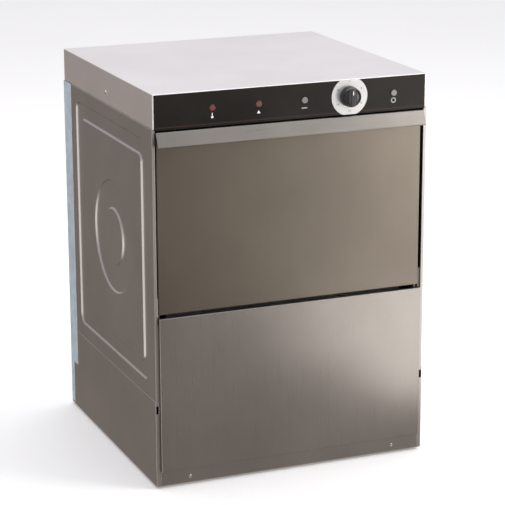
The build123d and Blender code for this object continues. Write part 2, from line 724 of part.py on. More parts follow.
suction_y = pump_centre_y
heater_height = tank_inside + 18.0
heater_y = spray_y - 90.0
heater_half_gap = 22.0
heater_rod = 4.0
with BuildPart() as wash_tank:
    tank_low = (-tank_half_width, cover_front + tank_front, tank_floor)
    tank_high = (tank_half_width, cover_front + tank_rear, chamber_floor)
    block(tank_low, tank_high)
    fillet(wash_tank.edges().filter_by(Axis.Z), 3 * chamber_sheet)
    block((tank_low[0] + chamber_sheet, tank_low[1] + chamber_sheet, tank_inside),
          (tank_high[0] - chamber_sheet, tank_high[1] - chamber_sheet, chamber_floor), Mode.SUBTRACT)
    block((tank_low[0] - tank_rim, tank_low[1] - tank_rim, chamber_floor - chamber_sheet),
          (tank_high[0] + tank_rim, tank_high[1] + tank_rim, chamber_floor))
    block((tank_low[0] + chamber_sheet, tank_low[1] + chamber_sheet, chamber_floor - chamber_sheet),
          (tank_high[0] - chamber_sheet, tank_high[1] - chamber_sheet, chamber_floor), Mode.SUBTRACT)
    for x, y, radius in ((standpipe_x, standpipe_y, drain_radius + 0.5), (0, spray_y, hub_radius + fit_gap),
                         (suction_x, suction_y, suction_radius - hose_wall)):
        round_bar((x, y, tank_floor - 1), radius, 4 * chamber_sheet, Z_AXIS, Mode.SUBTRACT)
    for y in (heater_y - heater_half_gap, heater_y + heater_half_gap):
        round_bar((tank_half_width - 4, y, heater_height), heater_rod + fit_gap, 8, X_AXIS, Mode.SUBTRACT)
save(wash_tank, "wash_tank")

with BuildPart() as tank_heater:
    heater_end = -90.0
    rod_start = tank_half_width + 12
    with BuildLine():
        Line((rod_start, heater_y - heater_half_gap, heater_height),
             (heater_end, heater_y - heater_half_gap, heater_height))
        ThreePointArc((heater_end, heater_y - heater_half_gap, heater_height),
                      (heater_end - heater_half_gap, heater_y, heater_height),
                      (heater_end, heater_y + heater_half_gap, heater_height))
        Line((heater_end, heater_y + heater_half_gap, heater_height),
             (rod_start, heater_y + heater_half_gap, heater_height))
    rod_end = Plane(origin=(rod_start, heater_y - heater_half_gap, heater_height), z_dir=(-1, 0, 0))
    with BuildSketch(rod_end):
        Circle(heater_rod)
    sweep()
    block((tank_half_width, heater_y - 34, heater_height - 11),
          (tank_half_width + 4, heater_y + 34, heater_height + 11))
save(tank_heater, "tank_heater")

gasket_outer = liner_half_width + 3 + gasket_width
gasket_top = liner_top + 3 + gasket_width
with BuildPart() as door_gasket:
    gasket_front = door_back + fit_gap
    block((-gasket_outer, gasket_front, liner_bottom + 6), (gasket_outer, mouth_y, gasket_top))
    block((-gasket_outer + gasket_width, gasket_front, liner_bottom + 6),
          (gasket_outer - gasket_width, mouth_y, gasket_top - gasket_width), Mode.SUBTRACT)
    gasket_edges = door_gasket.edges().group_by(Axis.Y)[0]
    fillet(gasket_edges, 2.5)
save(door_gasket, "door_gasket")

with BuildPart() as rack_guides:
    guide_front = mouth_y + 10
    guide_back = chamber_back - 12
    mirrored_block((inner_half - guide_shelf, guide_front, guide_height),
                   (inner_half, guide_back, guide_height + chamber_sheet))
    mirrored_block((inner_half - chamber_sheet, guide_front, guide_height),
                   (inner_half, guide_back, guide_height + 24))
save(rack_guides, "rack_guides")

filter_foot = chamber_floor + chamber_sheet + 0.4
for filter_name, side in (("tank_filter_left", -1), ("tank_filter_right", 1)):
    low_x, high_x = sorted((side * filter_gap, side * (inner_half - filter_edge_gap)))
    front = mouth_y + 6
    back = chamber_back - 14
    with BuildPart() as tank_filter:
        block((low_x, front, filter_foot), (high_x, back, filter_height))
        block((low_x + filter_skirt, front + filter_skirt, filter_foot),
              (high_x - filter_skirt, back - filter_skirt, filter_height - filter_skirt), Mode.SUBTRACT)
        round_bar((0, spray_y, chamber_floor), hub_collar_radius + 6, 60, Z_AXIS, Mode.SUBTRACT)
        if side < 0:
            # walled corner notch for the standpipe
            notch_x = standpipe_x + standpipe_radius + filter_notch_gap
            notch_y = standpipe_y + standpipe_radius + filter_notch_gap
            block((low_x, front, filter_foot), (notch_x, notch_y, filter_height), Mode.SUBTRACT)
            block((low_x, notch_y, filter_foot),
                  (notch_x + filter_skirt, notch_y + filter_skirt, filter_height))
            block((notch_x, front, filter_foot),
                  (notch_x + filter_skirt, notch_y + filter_skirt, filter_height))
    save(tank_filter, filter_name)

# ---------------------------------------------------------------- spray system
rinse_arm_far = arm_spacing + 2 * rinse_arm_radius


def spray_hub(z_of, z_far):
    """Stepped hub: z_of maps the height above a wash arm's seat, z_far is the hose end's height."""
    with BuildPart() as hub:
        steps = ((hub_radius, z_far, z_of(wash_arm_height + 1)),
                 (hub_collar_radius, z_of(-9), z_of(-0.5)),
                 (hub_rinse_radius, z_of(wash_arm_height + 1), z_of(rinse_arm_far + 1)),
                 (hub_radius - 2, z_of(rinse_arm_far + 0.5), z_of(rinse_arm_far + 6)))
        for radius, start, end in steps:
            round_bar((0, spray_y, min(start, end)), radius, abs(end - start), Z_AXIS)
        bore_end = z_of(rinse_arm_far)
        round_bar((0, spray_y, min(z_far, bore_end)), hub_bore, abs(bore_end - z_far), Z_AXIS, Mode.SUBTRACT)
    return hub


def wash_arm(z_of):
    """Hollow two-bladed wash arm with slotted nozzles towards the rack."""
    low, high = sorted((z_of(0), z_of(wash_arm_height)))
    jet_side = z_of(wash_arm_height)
    with BuildPart() as arm:
        with BuildSketch(Plane.XY.offset(low)) as outline:
            with Locations((0, spray_y)):
                SlotOverall(2 * wash_arm_reach, wash_arm_width)
                Circle(hub_radius + arm_hub_wall)
        extrude(outline.sketch, amount=high - low)
        fillet(arm.edges().group_by(Axis.Z)[-1] + arm.edges().group_by(Axis.Z)[0], 1.2)
        with BuildSketch(Plane.XY.offset(low + wash_arm_wall)) as hollow:
            with Locations((0, spray_y)):
                SlotOverall(2 * (wash_arm_reach - wash_arm_wall), wash_arm_width - 2 * wash_arm_wall)
        extrude(hollow.sketch, amount=high - low - 2 * wash_arm_wall, mode=Mode.SUBTRACT)
        round_bar((0, spray_y, low), hub_radius + run_gap, high - low, Z_AXIS, Mode.SUBTRACT)
        for blade in (-1, 1):
            for n in range(nozzle_count):
                x = blade * (60 + n * (wash_arm_reach - 90) / (nozzle_count - 1))
                block((x - 7, spray_y - 1, jet_side - 2), (x + 7, spray_y + 1, jet_side + 2), Mode.SUBTRACT)
    return arm


def rinse_arm(z_of):
    """Thin rinse tube across its own hub, with a row of round jets."""
    low, high = sorted((z_of(arm_spacing), z_of(rinse_arm_far)))
    jet_side = z_of(rinse_arm_far)
    with BuildPart() as arm:
        round_bar((-rinse_arm_reach, spray_y, (low + high) / 2), rinse_arm_radius, 2 * rinse_arm_reach,
                  X_AXIS)
        round_bar((0, spray_y, low), hub_rinse_radius + arm_hub_wall, high - low, Z_AXIS)
        round_bar((-rinse_arm_reach + 2, spray_y, (low + high) / 2), rinse_arm_bore,
                  2 * rinse_arm_reach - 4, X_AXIS, Mode.SUBTRACT)
        round_bar((0, spray_y, low), hub_rinse_radius + run_gap, high - low, Z_AXIS, Mode.SUBTRACT)
        for blade in (-1, 1):
            for n in range(nozzle_count + 1):
                x = blade * (45 + n * (rinse_arm_reach - 65) / nozzle_count)
                with Locations((x, spray_y, jet_side)):
                    Cylinder(1.0, 6, mode=Mode.SUBTRACT)
    return arm


def from_lower_seat(rise):
    """Height of a point above the lower wash arm's seat."""
    return lower_arm_height + rise


def from_upper_seat(drop):
    """Height of a point below the upper wash arm's seat."""
    return upper_arm_height - drop


hub_inlet = 200.0
upper_hub_inlet = chamber_top + 9.0
save(spray_hub(from_lower_seat, hub_inlet), "lower_arm_hub")
save(spray_hub(from_upper_seat, upper_hub_inlet), "upper_arm_hub")
save(wash_arm(from_lower_seat), "lower_wash_arm")
save(wash_arm(from_upper_seat), "upper_wash_arm")
save(rinse_arm(from_lower_seat), "lower_rinse_arm")
save(rinse_arm(from_upper_seat), "upper_rinse_arm")

standpipe_top = filter_height + 10
with BuildPart() as overflow_standpipe:
    round_bar((standpipe_x, standpipe_y, tank_inside + fit_gap), standpipe_radius,
              standpipe_top - tank_inside - fit_gap, Z_AXIS)
    round_bar((standpipe_x, standpipe_y, tank_inside + fit_gap), standpipe_radius + 5, 4, Z_AXIS)
    round_bar((standpipe_x, standpipe_y, tank_inside + fit_gap), standpipe_radius - 2.5, standpipe_top,
              Z_AXIS, Mode.SUBTRACT)
    block((standpipe_x - standpipe_radius + 1, standpipe_y - 2, standpipe_top - 8),
          (standpipe_x + standpipe_radius - 1, standpipe_y + 2, standpipe_top))
save(overflow_standpipe, "overflow_standpipe")

# ---------------------------------------------------------------- rack
rack_y = chamber_back - chamber_sheet - rack_rear_gap - rack_depth / 2
rack_base = guide_height + chamber_sheet + 0.5
with BuildPart() as glass_rack:
    half_w, half_d = rack_width / 2, rack_depth / 2
    block((-half_w, rack_y - half_d, rack_base), (half_w, rack_y + half_d, rack_base + rack_height))
    fillet(glass_rack.edges().filter_by(Axis.Z), rack_corner)
    with BuildSketch(Plane.XY.offset(rack_base + rack_floor)):
        with Locations((0, rack_y)):
            RectangleRounded(rack_width - 2 * rack_wall, rack_depth - 2 * rack_wall, rack_corner - rack_wall)
    extrude(amount=rack_height, mode=Mode.SUBTRACT)
    # open floor grid
    cell_x = (rack_width - 2 * rack_wall) / rack_cells
    cell_y = (rack_depth - 2 * rack_wall) / rack_cells
    with BuildSketch(Plane.XY.offset(rack_base)):
        with Locations((0, rack_y)):
            with GridLocations(cell_x, cell_y, rack_cells, rack_cells):
                Rectangle(cell_x - rack_rib, cell_y - rack_rib)
    extrude(amount=rack_floor, mode=Mode.SUBTRACT)
    # windows through the four walls
    with BuildSketch(Plane.XZ.offset(-(rack_y + half_d))):
        with Locations((0, rack_base + rack_window_height)):
            with GridLocations(rack_window_pitch, 1, rack_window_count, 1):
                RectangleRounded(*rack_window, rack_rib)
    extrude(amount=rack_depth, mode=Mode.SUBTRACT)
    with BuildSketch(Plane.YZ.offset(-half_w)):
        with Locations((rack_y, rack_base + rack_window_height)):
            with GridLocations(rack_window_pitch, 1, rack_window_count, 1):
                RectangleRounded(*rack_window, rack_rib)
    extrude(amount=rack_width, mode=Mode.SUBTRACT)
save(glass_rack, "glass_rack")

# ---------------------------------------------------------------- pump, boiler and services
with BuildPart() as wash_pump_volute:
    round_bar((pump_x, pump_centre_y, pump_axis_height), volute_radius, volute_length, X_AXIS)
    fillet(wash_pump_volute.edges(), 4)
    round_bar((discharge_x, discharge_y, pump_axis_height), feed_radius,
              discharge_top - pump_axis_height, Z_AXIS)
    round_bar((discharge_x, discharge_y, tee_height), riser_radius + 1, tee_length, Y_AXIS)
    round_bar((suction_end, pump_centre_y, pump_axis_height), suction_radius, suction_stub + 2, X_AXIS)
    round_bar((pump_x + volute_wall, pump_centre_y, pump_axis_height), impeller_radius + 6,
              volute_length - 2 * volute_wall, X_AXIS, Mode.SUBTRACT)
    round_bar((suction_end, pump_centre_y, pump_axis_height), suction_radius - hose_wall,
              suction_stub + volute_wall, X_AXIS, Mode.SUBTRACT)
    round_bar((discharge_x, discharge_y, pump_axis_height), feed_radius - hose_wall,
              discharge_top - pump_axis_height, Z_AXIS, Mode.SUBTRACT)
    round_bar((discharge_x, discharge_y, tee_height), riser_radius - 2, tee_length, Y_AXIS,
              Mode.SUBTRACT)
    round_bar((pump_x + 20, pump_centre_y, pump_axis_height), pump_shaft_radius + 1, volute_length, X_AXIS,
              Mode.SUBTRACT)
save(wash_pump_volute, "wash_pump_volute")

with BuildPart() as wash_pump_motor:
    round_bar((volute_back_x, pump_centre_y, pump_axis_height), motor_radius, motor_length, X_AXIS)
    motor_end = volute_back_x + motor_length
    fillet(wash_pump_motor.edges().group_by(Axis.X)[-1], 8)
    round_bar((motor_end, pump_centre_y, pump_axis_height), 20, 6, X_AXIS)
    block((volute_back_x + 30, pump_centre_y - 30, foot_height + sheet),
          (volute_back_x + 100, pump_centre_y + 30, pump_axis_height))
    block((volute_back_x + 40, pump_centre_y - 22, pump_axis_height + 40),
          (volute_back_x + 100, pump_centre_y + 22, pump_axis_height + motor_radius + 22))
    shaft_socket = 42.0
    round_bar((volute_back_x, pump_centre_y, pump_axis_height), pump_shaft_radius + run_gap,
              shaft_socket, X_AXIS, Mode.SUBTRACT)
save(wash_pump_motor, "wash_pump_motor")

with BuildPart() as pump_impeller:
    impeller_x = pump_x + volute_wall + 4
    round_bar((impeller_x, pump_centre_y, pump_axis_height), 12, 20, X_AXIS)
    round_bar((impeller_x + 16, pump_centre_y, pump_axis_height), impeller_radius, 4, X_AXIS)
    vane_plane = Plane(origin=(impeller_x + 4, pump_centre_y, pump_axis_height), z_dir=X_AXIS)
    with BuildSketch(vane_plane):
        with PolarLocations(24, 6):
            Rectangle(28, 3, rotation=25)
    extrude(amount=13)
    round_bar((impeller_x + 18, pump_centre_y, pump_axis_height), pump_shaft_radius,
              volute_back_x + shaft_socket - 2 - impeller_x - 18, X_AXIS)
save(pump_impeller, "pump_impeller")


def bent_hose(points, outer, bore, bend, name):
    """Hose along straight runs joined by tangent arcs."""
    path = FilletPolyline(*points, radius=bend)
    start = Plane(origin=path @ 0, z_dir=path % 0)
    with BuildPart() as hose:
        with BuildSketch(start) as ring:
            Circle(outer)
            Circle(bore, mode=Mode.SUBTRACT)
        sweep(ring.sketch, path=path)
    if name:
        save(hose, name)
    return hose


bent_hose([(suction_x, suction_y, tank_floor), (suction_x, suction_y, pump_axis_height),
           (suction_end, pump_centre_y, pump_axis_height)],
          suction_radius, suction_radius - hose_wall, 24, "pump_suction_hose")
feed_run = 166.0
bent_hose([(discharge_x, discharge_y, discharge_top), (discharge_x, discharge_y, feed_run),
           (0, spray_y, feed_run), (0, spray_y, hub_inlet)],
          feed_radius, feed_radius - hose_wall, 30, "wash_feed_hose")
riser_x = side_half - 23.0
riser_y = cover_front + 520.0
riser_top = chamber_top + 37.0
bent_hose([(discharge_x, discharge_y + tee_length, tee_height), (discharge_x, riser_y, tee_height),
           (riser_x, riser_y, tee_height), (riser_x, riser_y, riser_top),
           (0, spray_y, riser_top), (0, spray_y, upper_hub_inlet)],
          riser_radius, riser_radius - 2, 26, "wash_riser_hose")

boiler_y = cover_front + boiler_front
boiler_end = boiler_y + boiler_length
rinse_port_y = spray_y
rinse_port_low = spray_y - 50.0
port_radius = rinse_hose_radius - 1.5
boiler_top = boiler_height + boiler_radius
boiler_port_top = boiler_top + 8
with BuildPart() as boiler:
    round_bar((boiler_x, boiler_y, boiler_height), boiler_radius, boiler_length, Y_AXIS)
    fillet(boiler.edges(), 2.5 * boiler_wall)
    for y in (rinse_port_y, rinse_port_low):
        round_bar((boiler_x, y, boiler_top - 4), rinse_hose_radius + 1, 12, Z_AXIS)
    round_bar((boiler_x, boiler_end - 4, service_height), rinse_hose_radius + 1, 12, Y_AXIS)
    for y in (boiler_y + 50, boiler_end - 60):
        block((boiler_x - 42, y - 6, foot_height + sheet), (boiler_x + 42, y + 6, boiler_height - 30))
    round_bar((boiler_x, boiler_y + boiler_wall, boiler_height), boiler_radius - boiler_wall,
              boiler_length - 2 * boiler_wall, Y_AXIS, Mode.SUBTRACT)
    for y in (rinse_port_y, rinse_port_low):
        round_bar((boiler_x, y, boiler_top - 12), port_radius, 20, Z_AXIS, Mode.SUBTRACT)
    round_bar((boiler_x, boiler_end - 12, service_height), port_radius, 20, Y_AXIS, Mode.SUBTRACT)
    round_bar((boiler_x, boiler_y - 1, boiler_height), 30, 6, Y_AXIS, Mode.SUBTRACT)
save(boiler, "boiler")

with BuildPart() as boiler_heater:
    element_half = 16.0
    element_end = boiler_y + 230
    element_start = boiler_y - 16
    with BuildLine():
        Line((boiler_x - element_half, element_start, boiler_height),
             (boiler_x - element_half, element_end, boiler_height))
        ThreePointArc((boiler_x - element_half, element_end, boiler_height),
                      (boiler_x, element_end + element_half, boiler_height),
                      (boiler_x + element_half, element_end, boiler_height))
        Line((boiler_x + element_half, element_end, boiler_height),
             (boiler_x + element_half, element_start, boiler_height))
    element_plane = Plane(origin=(boiler_x - element_half, element_start, boiler_height), z_dir=Y_AXIS)
    with BuildSketch(element_plane):
        Circle(heater_rod)
    sweep()
    round_bar((boiler_x, boiler_y, boiler_height), 37, -6, Y_AXIS)
save(boiler_heater, "boiler_heater")

valve_back = cover_rear - sheet
valve_front = valve_back - valve_depth
valve_mid = valve_front + 20.0
with BuildPart() as inlet_valve:
    block((inlet_x - valve_half, valve_front, service_height - valve_half),
          (inlet_x + valve_half, valve_back, service_height + valve_half))
    round_bar((inlet_x, valve_back - 1, service_height), inlet_radius - 0.6, sheet + 1, Y_AXIS)
    round_bar((inlet_x, cover_rear, service_height), inlet_radius, rear_reach, Y_AXIS)
    round_bar((inlet_x, valve_back - 20, service_height), 8, rear_reach + 21 + sheet, Y_AXIS, Mode.SUBTRACT)
    round_bar((inlet_x, valve_mid, service_height + valve_half - 2), valve_half - 1, 34, Z_AXIS)
    round_bar((inlet_x - valve_stub, valve_mid, service_height), rinse_hose_radius + 1, valve_half, X_AXIS)
    round_bar((inlet_x - valve_stub, valve_mid, service_height), port_radius, valve_stub - 4, X_AXIS,
              Mode.SUBTRACT)
save(inlet_valve, "inlet_valve")

bent_hose([(inlet_x - valve_stub, valve_mid, service_height), (boiler_x, valve_mid, service_height),
           (boiler_x, boiler_end + 8, service_height)],
          rinse_hose_radius, port_radius, 22, "boiler_feed_hose")

rinse_x = -(side_half - 24.0)
rinse_run = chamber_top + 14.0
upper_rinse = bent_hose([(boiler_x, rinse_port_y, boiler_port_top), (boiler_x, rinse_port_y, boiler_top + 42),
                         (rinse_x, rinse_port_y, boiler_top + 42), (rinse_x, rinse_port_y, rinse_run),
                         (-hub_radius - 2, rinse_port_y, rinse_run)],
                        rinse_hose_radius, port_radius, 20, "")
lower_rinse = bent_hose([(boiler_x, rinse_port_low, boiler_port_top),
                         (boiler_x, rinse_port_low, hub_inlet + 14),
                         (0, rinse_port_low, hub_inlet + 14), (0, spray_y - hub_radius - 1, hub_inlet + 14)],
                        rinse_hose_radius, port_radius, 20, "")
with BuildPart() as rinse_hoses:
    add(upper_rinse.part)
    add(lower_rinse.part)
save(rinse_hoses, "rinse_hoses")

drain_run = 40.0
drain_end = cover_rear + drain_reach
drain_spigot_radius = drain_radius + 1
drain_run_in = bent_hose([(standpipe_x, standpipe_y, tank_inside - fit_gap),
                          (standpipe_x, standpipe_y, drain_run), (drain_x, standpipe_y, drain_run),
                          (drain_x, cover_rear - 80, service_height),
                          (drain_x, drain_end, service_height)],
                         drain_radius, drain_radius - 2, 28, "")
with BuildPart() as drain_pipe:
    add(drain_run_in.part)
    with BuildSketch(Plane(origin=(drain_x, cover_rear, service_height), z_dir=Y_AXIS)) as spigot:
        Circle(drain_spigot_radius)
        Circle(drain_radius - 1, mode=Mode.SUBTRACT)
    extrude(spigot.sketch, amount=drain_end - cover_rear)
save(drain_pipe, "drain_pipe")

dosing_xs = (-125.0, -65.0)
dosing_half = 24.0
dosing_face = cover_front + 34.0
dosing_depth = 42.0
dosing_top = 70.0
dosing_roller = 18.0
dosing_height = 42.0
with BuildPart() as dosing_pumps:
    for x in dosing_xs:
        block((x - dosing_half, dosing_face, foot_height + sheet),
              (x + dosing_half, dosing_face + dosing_depth, dosing_top))
        round_bar((x, dosing_face, dosing_height), dosing_roller, -8, Y_AXIS)
        round_bar((x, dosing_face - 8, dosing_height), 5, -5, Y_AXIS)
save(dosing_pumps, "dosing_pumps")

box_low = (118.0, cover_front + 40.0, foot_height + sheet)
box_high = (236.0, cover_front + 96.0, 196.0)
box_wall = 2.5
with BuildPart() as control_box:
    block(box_low, box_high)
    fillet(control_box.edges().filter_by(Axis.Z), 5)
    block([low + box_wall for low in box_low], [high - box_wall for high in box_high], Mode.SUBTRACT)
    block((box_low[0] + 10, box_high[1] - 8, box_low[2] + 14),
          (box_high[0] - 10, box_high[1] - box_wall, box_high[2] - 14))
    with Locations(*[(x, box_low[1], z) for x in (box_low[0] + 10, box_high[0] - 10)
                     for z in (box_low[2] + 12, box_high[2] - 12)]):
        Cylinder(3, 3, rotation=(90, 0, 0))
save(control_box, "control_box")

terminal_x = 205.0
terminal_y = cover_rear - 45.0
terminal_half = (30.0, 15.0)
terminal_top = foot_height + sheet + 26.0
with BuildPart() as terminal_block:
    block((terminal_x - terminal_half[0], terminal_y - terminal_half[1], foot_height + sheet),
          (terminal_x + terminal_half[0], terminal_y + terminal_half[1], terminal_top))
    with Locations((terminal_x, terminal_y, terminal_top)):
        with GridLocations(11, 14, 5, 2):
            Cylinder(3, 6, mode=Mode.SUBTRACT)
save(terminal_block, "terminal_block")

with BuildPart() as cable_gland:
    gland_start = cover_rear - sheet - gland_tail
    round_bar((gland_x, gland_start, service_height), gland_radius, gland_tail + sheet + gland_reach, Y_AXIS)
    for start, amount in ((cover_rear, 6), (cover_rear - sheet, -5)):
        with BuildSketch(Plane(origin=(gland_x, start, service_height), z_dir=Y_AXIS)) as nut:
            RegularPolygon(gland_nut, 6)
        extrude(nut.sketch, amount=amount)
    round_bar((gland_x, cover_rear + 6, service_height), gland_radius + 2, gland_reach - 8, Y_AXIS)
    fillet(cable_gland.edges().group_by(Axis.Y)[-1], bend_radius)
    round_bar((gland_x, gland_start - 1, service_height), gland_bore, gland_tail + gland_reach + 4, Y_AXIS,
              Mode.SUBTRACT)
save(cable_gland, "cable_gland")

with BuildPart() as bonding_stud:
    round_bar((bond_x, cover_rear - sheet - 6, service_height), bond_radius, 6 + sheet + bond_reach, Y_AXIS)
    for start, amount in ((cover_rear, bond_nut[1]), (cover_rear - sheet, -bond_nut[1])):
        with BuildSketch(Plane(origin=(bond_x, start, service_height), z_dir=Y_AXIS)) as nut:
            RegularPolygon(bond_nut[0], 6)
        extrude(nut.sketch, amount=amount)
save(bonding_stud, "bonding_stud")

with BuildPart() as door_switch:
    block((magnet_x - 4, mouth_y + chamber_sheet, magnet_height - 18),
          (magnet_x + 12, mouth_y + 16, magnet_height + 18))
    fillet(door_switch.edges().filter_by(Axis.Y), 2)
save(door_switch, "door_switch")
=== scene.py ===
"""Looks of a front-loading glass washer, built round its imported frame. Metres, +Z up, -Y towards the user."""

import math

import bmesh
import bpy
from mathutils import Matrix, Vector


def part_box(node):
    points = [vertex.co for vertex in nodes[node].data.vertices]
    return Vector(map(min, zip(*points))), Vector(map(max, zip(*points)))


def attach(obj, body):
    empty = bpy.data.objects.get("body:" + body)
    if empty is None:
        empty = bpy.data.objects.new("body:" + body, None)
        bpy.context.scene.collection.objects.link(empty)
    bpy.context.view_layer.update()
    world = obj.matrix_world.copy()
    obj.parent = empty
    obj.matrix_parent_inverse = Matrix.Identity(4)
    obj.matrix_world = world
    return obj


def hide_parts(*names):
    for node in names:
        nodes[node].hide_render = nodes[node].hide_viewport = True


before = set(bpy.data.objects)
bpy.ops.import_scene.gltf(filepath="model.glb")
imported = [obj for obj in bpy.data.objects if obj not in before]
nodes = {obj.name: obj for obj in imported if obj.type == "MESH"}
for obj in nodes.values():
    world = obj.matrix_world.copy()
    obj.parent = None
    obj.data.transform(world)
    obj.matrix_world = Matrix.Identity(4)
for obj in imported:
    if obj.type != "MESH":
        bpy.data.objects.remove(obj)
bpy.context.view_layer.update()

CONTROL_HEIGHT = 0.785


# ------------------------------------------------------------------ node language
class Wire:
    """A node's output. Sums written on it become Math nodes in its own tree."""

    def __init__(self, board, socket):
        self.board = board
        self.socket = socket

    def _sum(self, operation, *values):
        return self.board.add("ShaderNodeMath", {"operation": operation}, dict(enumerate(values)))

    def __add__(self, other):
        return self._sum("ADD", self, other)

    __radd__ = __add__

    def __sub__(self, other):
        return self._sum("SUBTRACT", self, other)

    def __rsub__(self, other):
        return self._sum("SUBTRACT", other, self)

    def __mul__(self, other):
        return self._sum("MULTIPLY", self, other)

    __rmul__ = __mul__

    def __truediv__(self, other):
        return self._sum("DIVIDE", self, other)

    def __rtruediv__(self, other):
        return self._sum("DIVIDE", other, self)

    def __pow__(self, other):
        return self._sum("POWER", self, other)

    def __lt__(self, other):
        return self._sum("LESS_THAN", self, other)

    def __gt__(self, other):
        return self._sum("GREATER_THAN", self, other)

    def size(self):
        return self._sum("ABSOLUTE", self)

    def wrapped(self, period):
        """Distance from the nearest whole multiple of the period."""
        return self._sum("PINGPONG", self, period / 2)

    def ramp(self, low, high, start=0.0, end=1.0):
        """start at low, end at high, smooth between and level beyond."""
        settings = {"interpolation_type": "SMOOTHSTEP"}
        sockets = {"Value": self, "From Min": low, "From Max": high, "To Min": start, "To Max": end}
        return self.board.add("ShaderNodeMapRange", settings, sockets)

    def out(self, name):
        return Wire(self.board, self.socket.node.outputs[name])


class Board:
    """A node tree, and the one method that adds a node to it."""

    def __init__(self, tree):
        self.tree = tree

    def add(self, kind, settings=None, sockets=None):
        node = self.tree.nodes.new(kind)
        for name, value in (settings or {}).items():
            setattr(node, name, value)
        for name, value in (sockets or {}).items():
            if isinstance(value, Wire):
                self.tree.links.new(value.socket, node.inputs[name])
            else:
                node.inputs[name].default_value = value
        return Wire(self, node.outputs[0]) if node.outputs else None

    def vector(self, operation, *values):
        return self.add("ShaderNodeVectorMath", {"operation": operation}, dict(enumerate(values)))

    def blend(self, amount, first, second, how="MIX"):
        """Colour between two others; amount is a wire or a number."""
        settings = {"data_type": "RGBA", "blend_type": how}
        return self.add("ShaderNodeMix", settings, {0: amount, 6: first, 7: second}).out(2)


class Finish(Board):
    """A surface finish: a material with the patterns that makers' finishes share."""

    def __init__(self, name):
        self.material = bpy.data.materials.new(name)
        self.material.use_nodes = True
        super().__init__(self.material.node_tree)
        self.tree.nodes.clear()
        self.place = self.add("ShaderNodeTexCoord").out("Object")

    def axis(self, letter):
        return self.add("ShaderNodeSeparateXYZ", {}, {0: self.place}).out(letter)

    def noise(self, scale, stretch=(1.0, 1.0, 1.0), detail=3.0, roughness=0.5, shift=(0.0, 0.0, 0.0)):
        mapped = self.add("ShaderNodeMapping", {},
                          {"Vector": self.place, "Location": shift, "Scale": stretch})
        sockets = {"Vector": mapped, "Scale": scale, "Detail": detail, "Roughness": roughness}
        return self.add("ShaderNodeTexNoise", {}, sockets)

    def rounded(self, radius):
        """Normals as if the edges were softened by a radius, and a mask that is 1 on those edges."""
        soft = self.add("ShaderNodeBevel", {"samples": 4}, {"Radius": radius})
        true = self.add("ShaderNodeNewGeometry").out("Normal")
        match = self.vector("DOT_PRODUCT", soft, true).out("Value")
        return soft, match.ramp(0.995, 0.9)

    def relief(self, height, distance, strength=1.0, normal=None):
        sockets = {"Height": height, "Distance": distance, "Strength": strength}
        if normal is not None:
            sockets["Normal"] = normal
        return self.add("ShaderNodeBump", {}, sockets)

    def shine(self, colour, roughness, normal, **fixed):
        """Ends the finish. fixed holds plain values for any other socket."""
        sockets = {"Base Color": colour, "Roughness": roughness, "Normal": normal}
        sockets.update({name.replace("_", " "): value for name, value in fixed.items()})
        body = self.add("ShaderNodeBsdfPrincipled", {}, sockets)
        self.add("ShaderNodeOutputMaterial", {}, {"Surface": body})
        return self.material


def rgb(red, green, blue):
    return (red, green, blue, 1.0)


# ------------------------------------------------------------------ finishes
ALONG_X = (0.012, 1.0, 1.0)
ALONG_Y = (1.0, 0.012, 1.0)
ALONG_Z = (1.0, 1.0, 0.012)


def brushed_sheet(name, dark, light, grain, roughness, edge=0.0012, contrast=0.35, depth=0.00003):
    """Stainless sheet: long scratches one way, cloudy polish, brighter rubbed edges, faint marks."""
    finish = Finish(name)
    cloud = finish.noise(3.2, detail=4.0, roughness=0.6)
    fine = finish.noise(950.0, grain, detail=2.0)
    coarse = finish.noise(260.0, grain, detail=3.0, roughness=0.65)
    smear = finish.noise(9.0, (1.0, 1.0, 0.35), detail=5.0, roughness=0.7, shift=(3.1, 1.7, 0.4))
    soft, rubbed = finish.rounded(edge)
    streaks = coarse * contrast + (0.5 - contrast / 2)
    tone = finish.blend(cloud.ramp(0.3, 0.7) * 0.45 + streaks * 0.55, dark, light)
    tone = finish.blend(rubbed * 0.4, tone, rgb(0.86, 0.85, 0.84))
    shine = roughness + 0.10 * (fine - 0.5) + 0.07 * (coarse - 0.5) + 0.06 * (smear - 0.5) - 0.06 * rubbed
    normal = finish.relief(fine * 0.4 + coarse * 0.6, depth, 1.0, soft)
    return finish.shine(tone, shine, normal, Metallic=1.0)


def moulded(name, colour, roughness, speck=420.0, depth=0.00006, edge=0.0008, lift=1.35, **fixed):
    """Moulded plastic or rubber: fine leathery skin, slight colour drift, paler worn edges."""
    finish = Finish(name)
    skin = finish.noise(speck, detail=2.0)
    drift = finish.noise(14.0, detail=4.0, roughness=0.6)
    soft, worn = finish.rounded(edge)
    paler = tuple(min(1.0, c * lift + 0.012) for c in colour[:3]) + (1.0,)
    tone = finish.blend(drift.ramp(0.3, 0.75) * 0.4 + worn * 0.45, colour, paler)
    normal = finish.relief(skin, depth, 0.7, soft)
    shine = roughness + 0.14 * (drift - 0.5) + 0.08 * (skin - 0.5) - 0.05 * worn
    return finish.shine(tone, shine, normal, **fixed)


